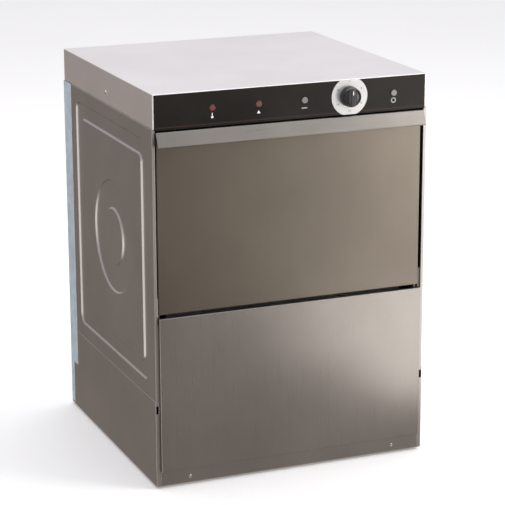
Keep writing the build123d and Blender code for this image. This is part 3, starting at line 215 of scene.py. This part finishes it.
def drawn_metal(name, dark, light, roughness, grain=ALONG_X, edge=0.0005):
    """Small turned or drawn metal pieces: tight scratches and dulled patches."""
    finish = Finish(name)
    patch = finish.noise(60.0, detail=4.0)
    scratch = finish.noise(1400.0, grain, detail=2.0)
    soft, rubbed = finish.rounded(edge)
    tone = finish.blend(patch.ramp(0.35, 0.7), dark, light)
    tone = finish.blend(rubbed * 0.35, tone, rgb(0.9, 0.89, 0.87))
    shine = roughness + 0.16 * (patch - 0.5) + 0.08 * (scratch - 0.5)
    return finish.shine(tone, shine, finish.relief(scratch, 0.00002, 1.0, soft), Metallic=1.0)


def galvanised_sheet():
    """Zinc-coated rear sheet: pale blue-grey crystals, each with its own dullness."""
    finish = Finish("galvanised_sheet")
    flakes = finish.add("ShaderNodeTexVoronoi", {},
                        {"Vector": finish.place, "Scale": 75.0, "Randomness": 1.0})
    crystal = finish.add("ShaderNodeSeparateColor", {}, {0: flakes.out("Color")})
    cloud = finish.noise(5.0, detail=4.0)
    soft, rubbed = finish.rounded(0.001)
    tone = finish.blend(crystal * 0.35 + cloud * 0.5, rgb(0.42, 0.50, 0.56), rgb(0.62, 0.70, 0.76))
    tone = finish.blend(rubbed * 0.3, tone, rgb(0.8, 0.84, 0.86))
    shine = 0.42 + 0.14 * (crystal - 0.5) + 0.1 * (cloud - 0.5)
    return finish.shine(tone, shine, finish.relief(cloud, 0.0002, 0.3, soft), Metallic=0.35)


def fascia_overlay():
    """Black satin overlay with a thin warm line printed near its lower edge."""
    finish = Finish("fascia_overlay")
    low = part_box("control_fascia")[0].z
    line = (finish.axis("Z") - (low + 0.0052)).size() < 0.00045
    skin = finish.noise(700.0, detail=2.0)
    drift = finish.noise(6.0, detail=4.0, roughness=0.6)
    soft, worn = finish.rounded(0.0006)
    tone = finish.blend(drift.ramp(0.3, 0.7), rgb(0.010, 0.0085, 0.0075), rgb(0.016, 0.014, 0.012))
    tone = finish.blend(worn * 0.3, tone, rgb(0.06, 0.055, 0.05))
    tone = finish.blend(line, tone, rgb(0.07, 0.035, 0.02))
    shine = 0.30 + 0.12 * (drift - 0.5) + 0.05 * (skin - 0.5)
    return finish.shine(tone, shine, finish.relief(skin, 0.00002, 0.5, soft), Specular_IOR_Level=0.16,
                        Coat_Weight=0.03, Coat_Roughness=0.25)


def dial_disc():
    """Satin silver disc, turned about the timer's axis."""
    finish = Finish("dial_disc")
    low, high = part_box("dial_plate")
    across = finish.axis("X") - (low.x + high.x) / 2
    up = finish.axis("Z") - CONTROL_HEIGHT
    radius = (across * across + up * up) ** 0.5
    rings = finish.add("ShaderNodeTexNoise", {"noise_dimensions": "1D"},
                       {"W": radius * 2600.0, "Scale": 1.0, "Detail": 2.0})
    drift = finish.noise(30.0, detail=3.0)
    soft, worn = finish.rounded(0.0004)
    tone = finish.blend(rings * 0.5 + drift * 0.4, rgb(0.50, 0.51, 0.52), rgb(0.68, 0.69, 0.70))
    tone = finish.blend(worn * 0.5, tone, rgb(0.85, 0.85, 0.85))
    shine = 0.38 + 0.10 * (rings - 0.5) + 0.06 * (drift - 0.5)
    return finish.shine(tone, shine, finish.relief(rings, 0.00002, 1.0, soft), Metallic=0.75)


def lamp_lens(name, deep, bright):
    """Coloured lens, domed and slightly lit from inside, with fine ring optics."""
    finish = Finish(name)
    low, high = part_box(name)
    across = finish.axis("X") - (low.x + high.x) / 2
    up = finish.axis("Z") - CONTROL_HEIGHT
    radius = (across * across + up * up) ** 0.5
    steps = radius.wrapped(0.0011) / 0.00055
    drift = finish.noise(200.0, detail=2.0)
    soft, worn = finish.rounded(0.0008)
    middle = radius.ramp(0.0, 0.0078)
    tone = finish.blend(middle * 0.7 + drift * 0.2, bright, deep)
    normal = finish.relief(steps, 0.00008, 0.6, soft)
    return finish.shine(tone, 0.16 + 0.12 * drift + 0.1 * worn, normal, Coat_Weight=0.6, Coat_Roughness=0.08)


def printed_ink(name, colour):
    """Screen-printed marks."""
    finish = Finish(name)
    grain = finish.noise(2500.0, detail=2.0)
    tone = finish.blend(grain.ramp(0.3, 0.8) * 0.5, colour, tuple(c * 0.8 for c in colour[:3]) + (1.0,))
    return finish.shine(tone, 0.45 + 0.1 * (grain - 0.5), finish.relief(grain, 0.00001, 0.4))


# Cabinet sides and plinth: the same stainless as cover and door, base colour painted darker as painted shade on
# the sides.
cabinet_steel = brushed_sheet("cabinet_steel", rgb(0.35, 0.33, 0.32), rgb(0.47, 0.445, 0.43), ALONG_Z, 0.36)
# Lower front panel: the same stainless, base colour painted darker as painted shade.
front_steel = brushed_sheet("front_steel", rgb(0.27, 0.252, 0.24), rgb(0.37, 0.35, 0.335), ALONG_Z, 0.30,
                            contrast=0.12)
# Top cover: the same stainless, base colour painted far paler as a painted highlight where light falls on the
# top.
cover_steel = brushed_sheet("cover_steel", rgb(0.80, 0.775, 0.785), rgb(0.93, 0.905, 0.915), ALONG_X, 0.34)
# Door skin: the same stainless, base colour painted very dark as painted shade.
door_steel = brushed_sheet("door_steel", rgb(0.152, 0.135, 0.114), rgb(0.205, 0.182, 0.156), ALONG_Z, 0.34)
# Handle: the same stainless, base colour painted darker as painted shade.
handle_steel = brushed_sheet("handle_steel", rgb(0.22, 0.205, 0.185), rgb(0.31, 0.292, 0.27), ALONG_X, 0.30,
                             contrast=0.4)
chamber_steel = brushed_sheet("chamber_steel", rgb(0.48, 0.48, 0.48), rgb(0.62, 0.62, 0.62), ALONG_X, 0.40,
                              contrast=0.2)
galvanised = galvanised_sheet()
fascia_black = fascia_overlay()
dial_silver = dial_disc()
lens_red = lamp_lens("pilot_lamp_red", rgb(0.075, 0.010, 0.007), rgb(0.17, 0.026, 0.018))
lens_amber = lamp_lens("pilot_lamp_amber", rgb(0.075, 0.022, 0.009), rgb(0.16, 0.045, 0.018))
button_grey = moulded("button_grey", rgb(0.16, 0.155, 0.155), 0.28, Coat_Weight=0.4, Coat_Roughness=0.12)
knob_black = moulded("knob_black", rgb(0.010, 0.010, 0.011), 0.34, depth=0.00003, lift=2.2,
                      Coat_Weight=0.2, Coat_Roughness=0.2)
rubber_black = moulded("rubber_black", rgb(0.018, 0.018, 0.018), 0.62, lift=1.8)
hose_grey = moulded("hose_grey", rgb(0.05, 0.05, 0.055), 0.55, lift=1.5)
spray_plastic = moulded("spray_plastic", rgb(0.17, 0.20, 0.24), 0.42)
rack_plastic = moulded("rack_plastic", rgb(0.045, 0.13, 0.27), 0.40, Coat_Weight=0.1)
pump_plastic = moulded("pump_plastic", rgb(0.03, 0.03, 0.03), 0.45, lift=1.6)
motor_paint = moulded("motor_paint", rgb(0.05, 0.055, 0.06), 0.38, speck=900.0, lift=1.6)
natural_nylon = moulded("natural_nylon", rgb(0.50, 0.47, 0.41), 0.40, lift=1.1)
valve_white = moulded("valve_white", rgb(0.70, 0.70, 0.67), 0.38, lift=1.05)
electrical_grey = moulded("electrical_grey", rgb(0.22, 0.23, 0.24), 0.45, lift=1.2)
gland_black = moulded("gland_black", rgb(0.02, 0.02, 0.02), 0.42, lift=2.0)
magnet_dark = moulded("magnet_dark", rgb(0.05, 0.045, 0.045), 0.5)
spray_steel = drawn_metal("spray_steel", rgb(0.55, 0.55, 0.55), rgb(0.70, 0.70, 0.70), 0.24)
screw_steel = drawn_metal("screw_steel", rgb(0.55, 0.55, 0.54), rgb(0.78, 0.77, 0.75), 0.22)
spring_wire = drawn_metal("spring_wire", rgb(0.32, 0.32, 0.32), rgb(0.48, 0.48, 0.47), 0.3, ALONG_Z)
heater_alloy = drawn_metal("heater_alloy", rgb(0.34, 0.30, 0.26), rgb(0.50, 0.45, 0.40), 0.32)
boiler_steel = drawn_metal("boiler_steel", rgb(0.48, 0.48, 0.48), rgb(0.62, 0.62, 0.61), 0.33, ALONG_Y)
brass_stud = drawn_metal("brass_stud", rgb(0.55, 0.38, 0.14), rgb(0.74, 0.56, 0.26), 0.25, ALONG_Y)


def perforated_sheet():
    """Stainless filter sheet with staggered round holes right through it, on its flat top only."""
    finish = Finish("perforated_sheet")
    pitch = 0.005
    hole = 0.0013
    across, along = finish.axis("X"), finish.axis("Y")
    first = (across.wrapped(pitch) ** 2.0 + along.wrapped(pitch) ** 2.0) ** 0.5
    shifted_x, shifted_y = across + pitch / 2, along + pitch / 2
    second = (shifted_x.wrapped(pitch) ** 2.0 + shifted_y.wrapped(pitch) ** 2.0) ** 0.5
    facing = finish.add("ShaderNodeNewGeometry").out("Normal")
    level = finish.add("ShaderNodeSeparateXYZ", {}, {0: facing}).out("Z")
    solid = 1.0 - ((first < hole) + (second < hole)) * (level.size() > 0.9)
    cloud = finish.noise(20.0, detail=4.0)
    grain = finish.noise(600.0, ALONG_X, detail=2.0)
    soft, rubbed = finish.rounded(0.0006)
    tone = finish.blend(cloud * 0.6 + grain * 0.3, rgb(0.46, 0.46, 0.46), rgb(0.66, 0.66, 0.65))
    shine = 0.32 + 0.12 * (cloud - 0.5) + 0.06 * (grain - 0.5) - 0.04 * rubbed
    return finish.shine(tone, shine, finish.relief(grain, 0.00003, 1.0, soft), Metallic=1.0, Alpha=solid)


filter_steel = perforated_sheet()

finish_of = {
    cabinet_steel: ("base_plinth", "side_panel_left", "side_panel_right"),
    front_steel: ("lower_front_panel",),
    cover_steel: ("top_cover",),
    door_steel: ("door_outer_skin",),
    handle_steel: ("door_handle",),
    chamber_steel: ("wash_chamber", "wash_tank", "rack_guides", "hinge_brackets", "door_inner_liner",
                    "door_hinge_arms"),
    galvanised: ("rear_panel",),
    fascia_black: ("control_fascia",),
    dial_silver: ("dial_plate",),
    lens_red: ("pilot_lamp_red",),
    lens_amber: ("pilot_lamp_amber",),
    button_grey: ("start_button", "power_button"),
    knob_black: ("timer_knob",),
    rubber_black: ("levelling_feet", "door_gasket"),
    hose_grey: ("pump_suction_hose", "wash_feed_hose", "wash_riser_hose", "drain_pipe", "boiler_feed_hose",
                "rinse_hoses"),
    spray_plastic: ("lower_arm_hub", "upper_arm_hub", "lower_wash_arm", "upper_wash_arm",
                    "overflow_standpipe"),
    rack_plastic: ("glass_rack",),
    pump_plastic: ("wash_pump_volute",),
    motor_paint: ("wash_pump_motor",),
    natural_nylon: ("pump_impeller",),
    valve_white: ("inlet_valve",),
    electrical_grey: ("door_switch", "dosing_pumps", "control_box", "terminal_block", "timer_body",
                      "push_switches"),
    gland_black: ("cable_gland",),
    magnet_dark: ("door_magnet",),
    spray_steel: ("lower_rinse_arm", "upper_rinse_arm"),
    screw_steel: ("front_panel_screws", "cover_screws", "hinge_pins", "timer_shaft"),
    spring_wire: ("door_springs",),
    heater_alloy: ("tank_heater", "boiler_heater"),
    boiler_steel: ("boiler",),
    brass_stud: ("bonding_stud",),
    filter_steel: ("tank_filter_left", "tank_filter_right"),
}
for material, names in finish_of.items():
    for name in names:
        mesh = nodes[name].data
        mesh.materials.clear()
        mesh.materials.append(material)


# ------------------------------------------------------------------ making pieces
def plain_mesh(name, points, faces):
    mesh = bpy.data.meshes.new(name)
    mesh.from_pydata(points, [], faces)
    mesh.update()
    made = bpy.data.objects.new(name, mesh)
    bpy.context.scene.collection.objects.link(made)
    return made


def finished(made, material, body, smooth_angle=None):
    """Gives a piece its finish and its body."""
    made.data.materials.clear()
    made.data.materials.append(material)
    if smooth_angle is not None:
        made.data.polygons.foreach_set("use_smooth", [True] * len(made.data.polygons))
        made.data.set_sharp_from_angle(angle=math.radians(smooth_angle))
    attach(made, body)
    return made


def baked(curve_object, name):
    """The plain mesh of a curve, text or Geometry Nodes object, at its own place; the object goes."""
    bpy.context.view_layer.update()
    graph = bpy.context.evaluated_depsgraph_get()
    mesh = bpy.data.meshes.new_from_object(curve_object.evaluated_get(graph))
    mesh.transform(curve_object.matrix_world)
    made = bpy.data.objects.new(name, mesh)
    bpy.context.scene.collection.objects.link(made)
    bpy.data.objects.remove(curve_object)
    return made


# ------------------------------------------------------------------ printed marks
FRONT = Matrix.Rotation(math.radians(90), 4, "X")
INK_LIFT = 0.00006


def number(text, x, z, face_y, height, name):
    """A printed number on a face that looks towards the user."""
    letters = bpy.data.curves.new(name, "FONT")
    letters.body = text
    letters.size = height / 0.7
    letters.align_x = "CENTER"
    letters.align_y = "CENTER"
    letters.extrude = INK_LIFT / 2
    made = bpy.data.objects.new(name, letters)
    bpy.context.scene.collection.objects.link(made)
    made.matrix_world = Matrix.Translation((x, face_y - INK_LIFT / 2, z)) @ FRONT
    return baked(made, name)


def flat_mark(name, outlines, x, z, face_y):
    """A printed sign from closed outlines in metres; inner outlines are holes."""
    line = bpy.data.curves.new(name, "CURVE")
    line.dimensions = "2D"
    line.fill_mode = "BOTH"
    line.extrude = INK_LIFT / 2
    for points in outlines:
        spline = line.splines.new("POLY")
        spline.points.add(len(points) - 1)
        for point, (across, up) in zip(spline.points, points):
            point.co = (across, up, 0.0, 1.0)
        spline.use_cyclic_u = True
    made = bpy.data.objects.new(name, line)
    bpy.context.scene.collection.objects.link(made)
    made.matrix_world = Matrix.Translation((x, face_y - INK_LIFT / 2, z)) @ FRONT
    return baked(made, name)


def circle(radius, centre=(0.0, 0.0), steps=32):
    turns = [2 * math.pi * n / steps for n in range(steps)]
    return [(centre[0] + radius * math.cos(t), centre[1] + radius * math.sin(t)) for t in turns]


ink_white = printed_ink("ink_white", rgb(0.80, 0.80, 0.78))
ink_grey = printed_ink("ink_grey", rgb(0.36, 0.35, 0.34))
ink_black = printed_ink("ink_black", rgb(0.05, 0.05, 0.055))
ink_red = printed_ink("ink_red", rgb(0.62, 0.12, 0.12))

dial_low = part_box("dial_plate")[0]
fascia_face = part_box("control_fascia")[0].y
timer_x = (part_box("timer_knob")[0].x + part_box("timer_knob")[1].x) / 2
MARK_RADIUS = 0.0300
for step, text in enumerate(("0", "4", "8", "12", "16", "20")):
    turn = math.radians(60 * step)
    mark = number(text, timer_x + MARK_RADIUS * math.sin(turn), CONTROL_HEIGHT + MARK_RADIUS * math.cos(turn),
                  dial_low.y, 0.0046, "dial_number_" + text)
    finished(mark, ink_red if text == "0" else ink_black, "cabinet")


def control_x(name):
    low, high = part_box(name)
    return (low.x + high.x) / 2


SIGN_HEIGHT = 0.769
stem = [(-0.0009, -0.001), (0.0009, -0.001), (0.0009, 0.0058), (-0.0009, 0.0058)]
thermometer = flat_mark("mark_heat_stem", [stem], control_x("pilot_lamp_red"), SIGN_HEIGHT, fascia_face)
bulb = flat_mark("mark_heat_bulb", [circle(0.0026, (0.0, -0.0022))], control_x("pilot_lamp_red"), SIGN_HEIGHT,
                 fascia_face)
triangle = flat_mark("mark_triangle", [[(-0.0036, -0.003), (0.0036, -0.003), (0.0, 0.0034)]],
                     control_x("pilot_lamp_amber"), SIGN_HEIGHT, fascia_face)
ring = flat_mark("mark_ring", [circle(0.0056), circle(0.0034)], control_x("power_button"),
                 SIGN_HEIGHT + 0.0005, fascia_face)
bars = [[(-0.006, -0.0012), (0.006, -0.0012), (0.006, 0.0012), (-0.006, 0.0012)]]
cycle = flat_mark("mark_start_bar", bars, control_x("start_button"), SIGN_HEIGHT, fascia_face)
for mark, ink in ((thermometer, ink_white), (bulb, ink_white), (triangle, ink_white), (ring, ink_grey),
                  (cycle, ink_grey)):
    finished(mark, ink, "cabinet")


# ------------------------------------------------------------------ timer knob
def timer_knob_shape():
    """Domed knob with a grip bar between two scoops, made as rings of points from the dial outwards."""
    low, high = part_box("timer_knob")
    base, front = high.y, low.y
    depth = base - front
    steps = 96
    profile = [(0.0212, 0.0), (0.0213, 0.10), (0.0209, 0.35), (0.0203, 0.58), (0.0196, 0.72), (0.0184, 0.84),
               (0.0168, 0.925), (0.0148, 0.975), (0.0125, 0.995), (0.0100, 1.0), (0.0075, 1.0), (0.0050, 1.0),
               (0.0025, 1.0)]
    points = []
    for radius, rise in profile:
        for n in range(steps):
            turn = 2 * math.pi * n / steps
            across, up = radius * math.sin(turn), radius * math.cos(turn)
            edge = min(1.0, max(0.0, (abs(across) - 0.0052) / 0.0030))
            inside = min(1.0, max(0.0, (0.0185 - radius) / 0.0035))
            scoop = 0.0052 * edge * edge * (3 - 2 * edge) * inside * inside * (3 - 2 * inside)
            points.append((timer_x + across, base - depth * rise * 0.999 + scoop, CONTROL_HEIGHT + up))
    faces = []
    for band in range(len(profile) - 1):
        for n in range(steps):
            m = (n + 1) % steps
            faces.append((band * steps + n, (band + 1) * steps + n, (band + 1) * steps + m, band * steps + m))
    points.append((timer_x, front + 0.001 * depth, CONTROL_HEIGHT))
    last = (len(profile) - 1) * steps
    faces += [(last + n, len(points) - 1, last + (n + 1) % steps) for n in range(steps)]
    faces.append(tuple(range(steps - 1, -1, -1)))
    made = plain_mesh("timer_knob_domed", points, faces)
    shape = bmesh.new()
    shape.from_mesh(made.data)
    bmesh.ops.recalc_face_normals(shape, faces=shape.faces)
    shape.to_mesh(made.data)
    shape.free()
    return made


knob = finished(timer_knob_shape(), knob_black, "timer", smooth_angle=50)
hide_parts("timer_knob")
pointer_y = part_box("timer_knob")[0].y
pointer = flat_mark("knob_pointer", [[(-0.0009, 0.0), (0.0009, 0.0), (0.0009, 0.0078), (-0.0009, 0.0078)]],
                    timer_x, CONTROL_HEIGHT + 0.0055, pointer_y + INK_LIFT)
finished(pointer, ink_white, "timer")


# ------------------------------------------------------------------ pieces grown by Geometry Nodes
class Growth(Board):
    """A Geometry Nodes tree with named number inputs, grown once and kept as a plain mesh."""

    def __init__(self, name, given):
        super().__init__(bpy.data.node_groups.new(name, "GeometryNodeTree"))
        self.name = name
        face = self.tree.interface
        face.new_socket("Geometry", in_out="OUTPUT", socket_type="NodeSocketGeometry")
        self.keys = {}
        for label, value in given.items():
            kind = "NodeSocketInt" if isinstance(value, int) else "NodeSocketFloat"
            self.keys[label] = (face.new_socket(label, in_out="INPUT", socket_type=kind).identifier, value)
        self.start = self.add("NodeGroupInput")

    def given(self, label):
        return self.start.out(label)

    def place(self, x=0.0, y=0.0, z=0.0):
        return self.add("ShaderNodeCombineXYZ", {}, {"X": x, "Y": y, "Z": z})

    def box(self, x, y, z):
        return self.add("GeometryNodeMeshCube", {}, {"Size": self.place(x, y, z)})

    def row(self, piece, count, first, step):
        """Copies of a piece along a straight row."""
        line = self.add("GeometryNodeMeshLine", {}, {"Count": count, "Start Location": first, "Offset": step})
        spots = self.add("GeometryNodeMeshToPoints", {}, {"Mesh": line})
        return self.add("GeometryNodeInstanceOnPoints", {}, {"Points": spots, "Instance": piece})

    def together(self, *pieces):
        joined = self.tree.nodes.new("GeometryNodeJoinGeometry")
        for piece in pieces:
            self.tree.links.new(piece.socket, joined.inputs[0])
        return Wire(self, joined.outputs[0])

    def kept(self, pieces, material):
        """Runs the tree and returns its plain mesh."""
        solid = self.add("GeometryNodeRealizeInstances", {}, {"Geometry": self.together(*pieces)})
        done = self.add("GeometryNodeSetMaterial", {}, {"Geometry": solid, "Material": material})
        self.add("NodeGroupOutput", {}, {0: done})
        holder = plain_mesh(self.name + "_seed", [], [])
        grown = holder.modifiers.new("grown", "NODES")
        grown.node_group = self.tree
        for identifier, value in self.keys.values():
            grown[identifier] = value
        return baked(holder, self.name)


def rack_lattice():
    """Fine square floor of the rack, and the slim uprights that close its side windows."""
    low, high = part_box("glass_rack")
    wide, deep = high.x - low.x, high.y - low.y
    tree = Growth("rack_lattice", {"Bars": 31, "Uprights": 25, "Bar Width": 0.0016, "Bar Height": 0.004,
                                   "Wide": wide, "Deep": deep, "Window": 0.052})
    inset = 0.004          # bars stop inside the walls
    bars, width, height = tree.given("Bars"), tree.given("Bar Width"), tree.given("Bar Height")
    span_x, span_y = tree.given("Wide") - 2 * inset, tree.given("Deep") - 2 * inset
    middle_x, middle_y = (low.x + high.x) / 2, (low.y + high.y) / 2
    pitch_x, pitch_y = span_x / (bars - 1.0), span_y / (bars - 1.0)
    floor_z = low.z + 0.0045
    along_x = tree.row(tree.box(span_x, width, height), bars,
                       tree.place(middle_x, low.y + inset, floor_z), tree.place(0.0, pitch_y, 0.0))
    along_y = tree.row(tree.box(width, span_y, height), bars,
                       tree.place(low.x + inset, middle_y, floor_z), tree.place(pitch_x, 0.0, 0.0))
    posts = tree.given("Uprights")
    post = tree.box(0.003, 0.003, tree.given("Window"))
    middle_z = low.z + 0.05
    reach = 0.025
    run_x, run_y = (wide - 2 * reach) / (posts - 1.0), (deep - 2 * reach) / (posts - 1.0)
    walls = [tree.row(post, posts, tree.place(low.x + reach, y, middle_z), tree.place(run_x, 0.0, 0.0))
             for y in (low.y + 0.002, high.y - 0.002)]
    walls += [tree.row(post, posts, tree.place(x, low.y + reach, middle_z), tree.place(0.0, run_y, 0.0))
              for x in (low.x + 0.002, high.x - 0.002)]
    return tree.kept([along_x, along_y] + walls, rack_plastic)


def motor_ribs():
    """Cooling ribs standing out all round the motor's shell."""
    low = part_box("wash_pump_motor")[0]
    axis_y, axis_z, shell = 0.1075, 0.075, 0.055
    rib_middle = low.x + 0.066
    tree = Growth("motor_ribs", {"Ribs": 44, "Length": 0.104, "Rise": 0.0026, "Thickness": 0.0014,
                                 "Shell": shell})
    ring = tree.add("GeometryNodeMeshCircle", {}, {"Vertices": tree.given("Ribs"),
                                                   "Radius": tree.given("Shell") + 0.0008})
    index = tree.add("GeometryNodeInputIndex")
    turn = index * (2 * math.pi) / tree.given("Ribs")
    spots = tree.add("GeometryNodeMeshToPoints", {}, {"Mesh": ring})
    rib = tree.box(tree.given("Rise"), tree.given("Thickness"), tree.given("Length"))
    turned = tree.place(0.0, 0.0, turn)
    ribs = tree.add("GeometryNodeInstanceOnPoints", {},
                    {"Points": spots, "Instance": rib, "Rotation": turned})
    laid = tree.add("GeometryNodeTransform", {}, {"Geometry": ribs, "Rotation": (0.0, math.pi / 2, 0.0),
                                                  "Translation": (rib_middle, axis_y, axis_z)})
    return tree.kept([laid], motor_paint)


def spring_coils():
    """Close coils wound on both door springs."""
    low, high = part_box("door_springs")
    hooks = 0.090           # plain wire at both ends together
    tree = Growth("spring_coils", {"Turns": 62.0, "Wire": 0.0010, "Coil": 0.0046,
                                   "Height": high.z - low.z - hooks})
    sockets = {"Resolution": 20, "Rotations": tree.given("Turns"), "Start Radius": tree.given("Coil"),
               "End Radius": tree.given("Coil"), "Height": tree.given("Height")}
    path = tree.add("GeometryNodeCurveSpiral", {}, sockets)
    wire = tree.add("GeometryNodeCurvePrimitiveCircle", {}, {"Resolution": 8, "Radius": tree.given("Wire")})
    coil = tree.add("GeometryNodeCurveToMesh", {}, {"Curve": path, "Profile Curve": wire, "Fill Caps": True})
    coils = [tree.add("GeometryNodeTransform", {}, {"Geometry": coil, "Translation": (x, (low.y + high.y) / 2,
                                                                                      low.z + 0.060)})
             for x in (low.x + 0.005, high.x - 0.005)]
    return tree.kept(coils, spring_wire)


finished(rack_lattice(), rack_plastic, "rack")
finished(motor_ribs(), motor_paint, "cabinet")
finished(spring_coils(), spring_wire, "cabinet", smooth_angle=60)


# ------------------------------------------------------------------ floor, lights and camera
def pale_floor():
    reach = 30.0
    corners = [(-reach, -reach, 0), (reach, -reach, 0), (reach, reach, 0), (-reach, reach, 0)]
    floor = plain_mesh("floor", corners, [(0, 1, 2, 3)])
    finish = Finish("floor_paint")
    mottle = finish.noise(1.5, detail=2.0)
    tone = finish.blend(mottle, rgb(0.90, 0.90, 0.90), rgb(0.93, 0.93, 0.93))
    floor.data.materials.append(finish.shine(tone, 0.9, finish.relief(mottle, 0.001, 0.1),
                                             Emission_Color=rgb(1.0, 1.0, 1.0), Emission_Strength=0.16))
    floor.visible_glossy = False


def soft_box(name, place, aim, width, height, power, colour=(1.0, 1.0, 1.0)):
    """A large rectangular lamp that points at aim."""
    lamp = bpy.data.lights.new(name, "AREA")
    lamp.shape = "RECTANGLE"
    lamp.size = width
    lamp.size_y = height
    lamp.energy = power
    lamp.color = colour
    made = bpy.data.objects.new(name, lamp)
    made.location = place
    made.rotation_euler = (Vector(aim) - Vector(place)).to_track_quat("-Z", "Y").to_euler()
    made.visible_camera = False
    bpy.context.scene.collection.objects.link(made)


def studio_air():
    """Studio surroundings: a pale ceiling, and below it a bright left, a warm dark middle and a pale right."""
    world = bpy.data.worlds.new("studio")
    world.use_nodes = True
    bpy.context.scene.world = world
    air = Board(world.node_tree)
    world.node_tree.nodes.clear()
    direction = air.add("ShaderNodeSeparateXYZ", {}, {0: air.add("ShaderNodeTexCoord").out("Generated")})
    up = direction.out("Z")
    right = direction.out("X")
    below = air.blend(right.ramp(0.05, 0.75), rgb(0.26, 0.222, 0.195), rgb(0.62, 0.58, 0.53))
    below = air.blend(right.ramp(-0.62, -0.86), below, rgb(1.75, 1.70, 1.66))
    sky = air.blend(right.ramp(-0.8, 0.6), rgb(0.70, 0.69, 0.72), rgb(0.74, 0.725, 0.74))
    glow = air.blend(up.ramp(-0.16, 0.14), below, sky)
    light = air.add("ShaderNodeBackground", {}, {"Color": glow, "Strength": 1.0})
    air.add("ShaderNodeOutputWorld", {}, {"Surface": light})


pale_floor()
studio_air()
middle = (0.0, 0.0, 0.42)
soft_box("key_box", (3.0, -2.2, 2.6), middle, 1.8, 2.0, 75.0, (1.0, 0.985, 0.96))
soft_box("sky_box", (0.3, 0.6, 3.6), middle, 3.4, 3.4, 60.0)
soft_box("right_card", (1.9, -1.7, 0.5), (0.2, -0.3, 0.4), 1.0, 1.3, 9.0, (1.0, 0.97, 0.93))
soft_box("low_card", (1.5, -2.1, 0.25), (0.2, -0.3, 0.4), 0.9, 0.7, 5.5, (1.0, 0.96, 0.91))
soft_box("floor_card", (1.02, -1.08, 0.02), (1.01, -1.08, 1.0), 1.0, 1.3, 5.8, (1.0, 0.97, 0.93))
bpy.context.scene.view_settings.view_transform = "Standard"

AZIMUTH, ELEVATION, ROLL = math.radians(-22.27), math.radians(15.46), math.radians(-0.2)
back = Vector((math.sin(AZIMUTH) * math.cos(ELEVATION), -math.cos(AZIMUTH) * math.cos(ELEVATION),
               math.sin(ELEVATION)))
camera = bpy.data.objects.new("camera", bpy.data.cameras.new("camera"))
camera.data.sensor_width = 36.0
camera.data.lens = 145.54
camera.data.clip_end = 200.0
turned = back.to_track_quat("Z", "Y") @ Matrix.Rotation(ROLL, 3, "Z").to_quaternion()
camera.rotation_euler = turned.to_euler()
camera.location = (-1.594, -3.970, 1.580)
bpy.context.scene.collection.objects.link(camera)
bpy.context.scene.camera = camera
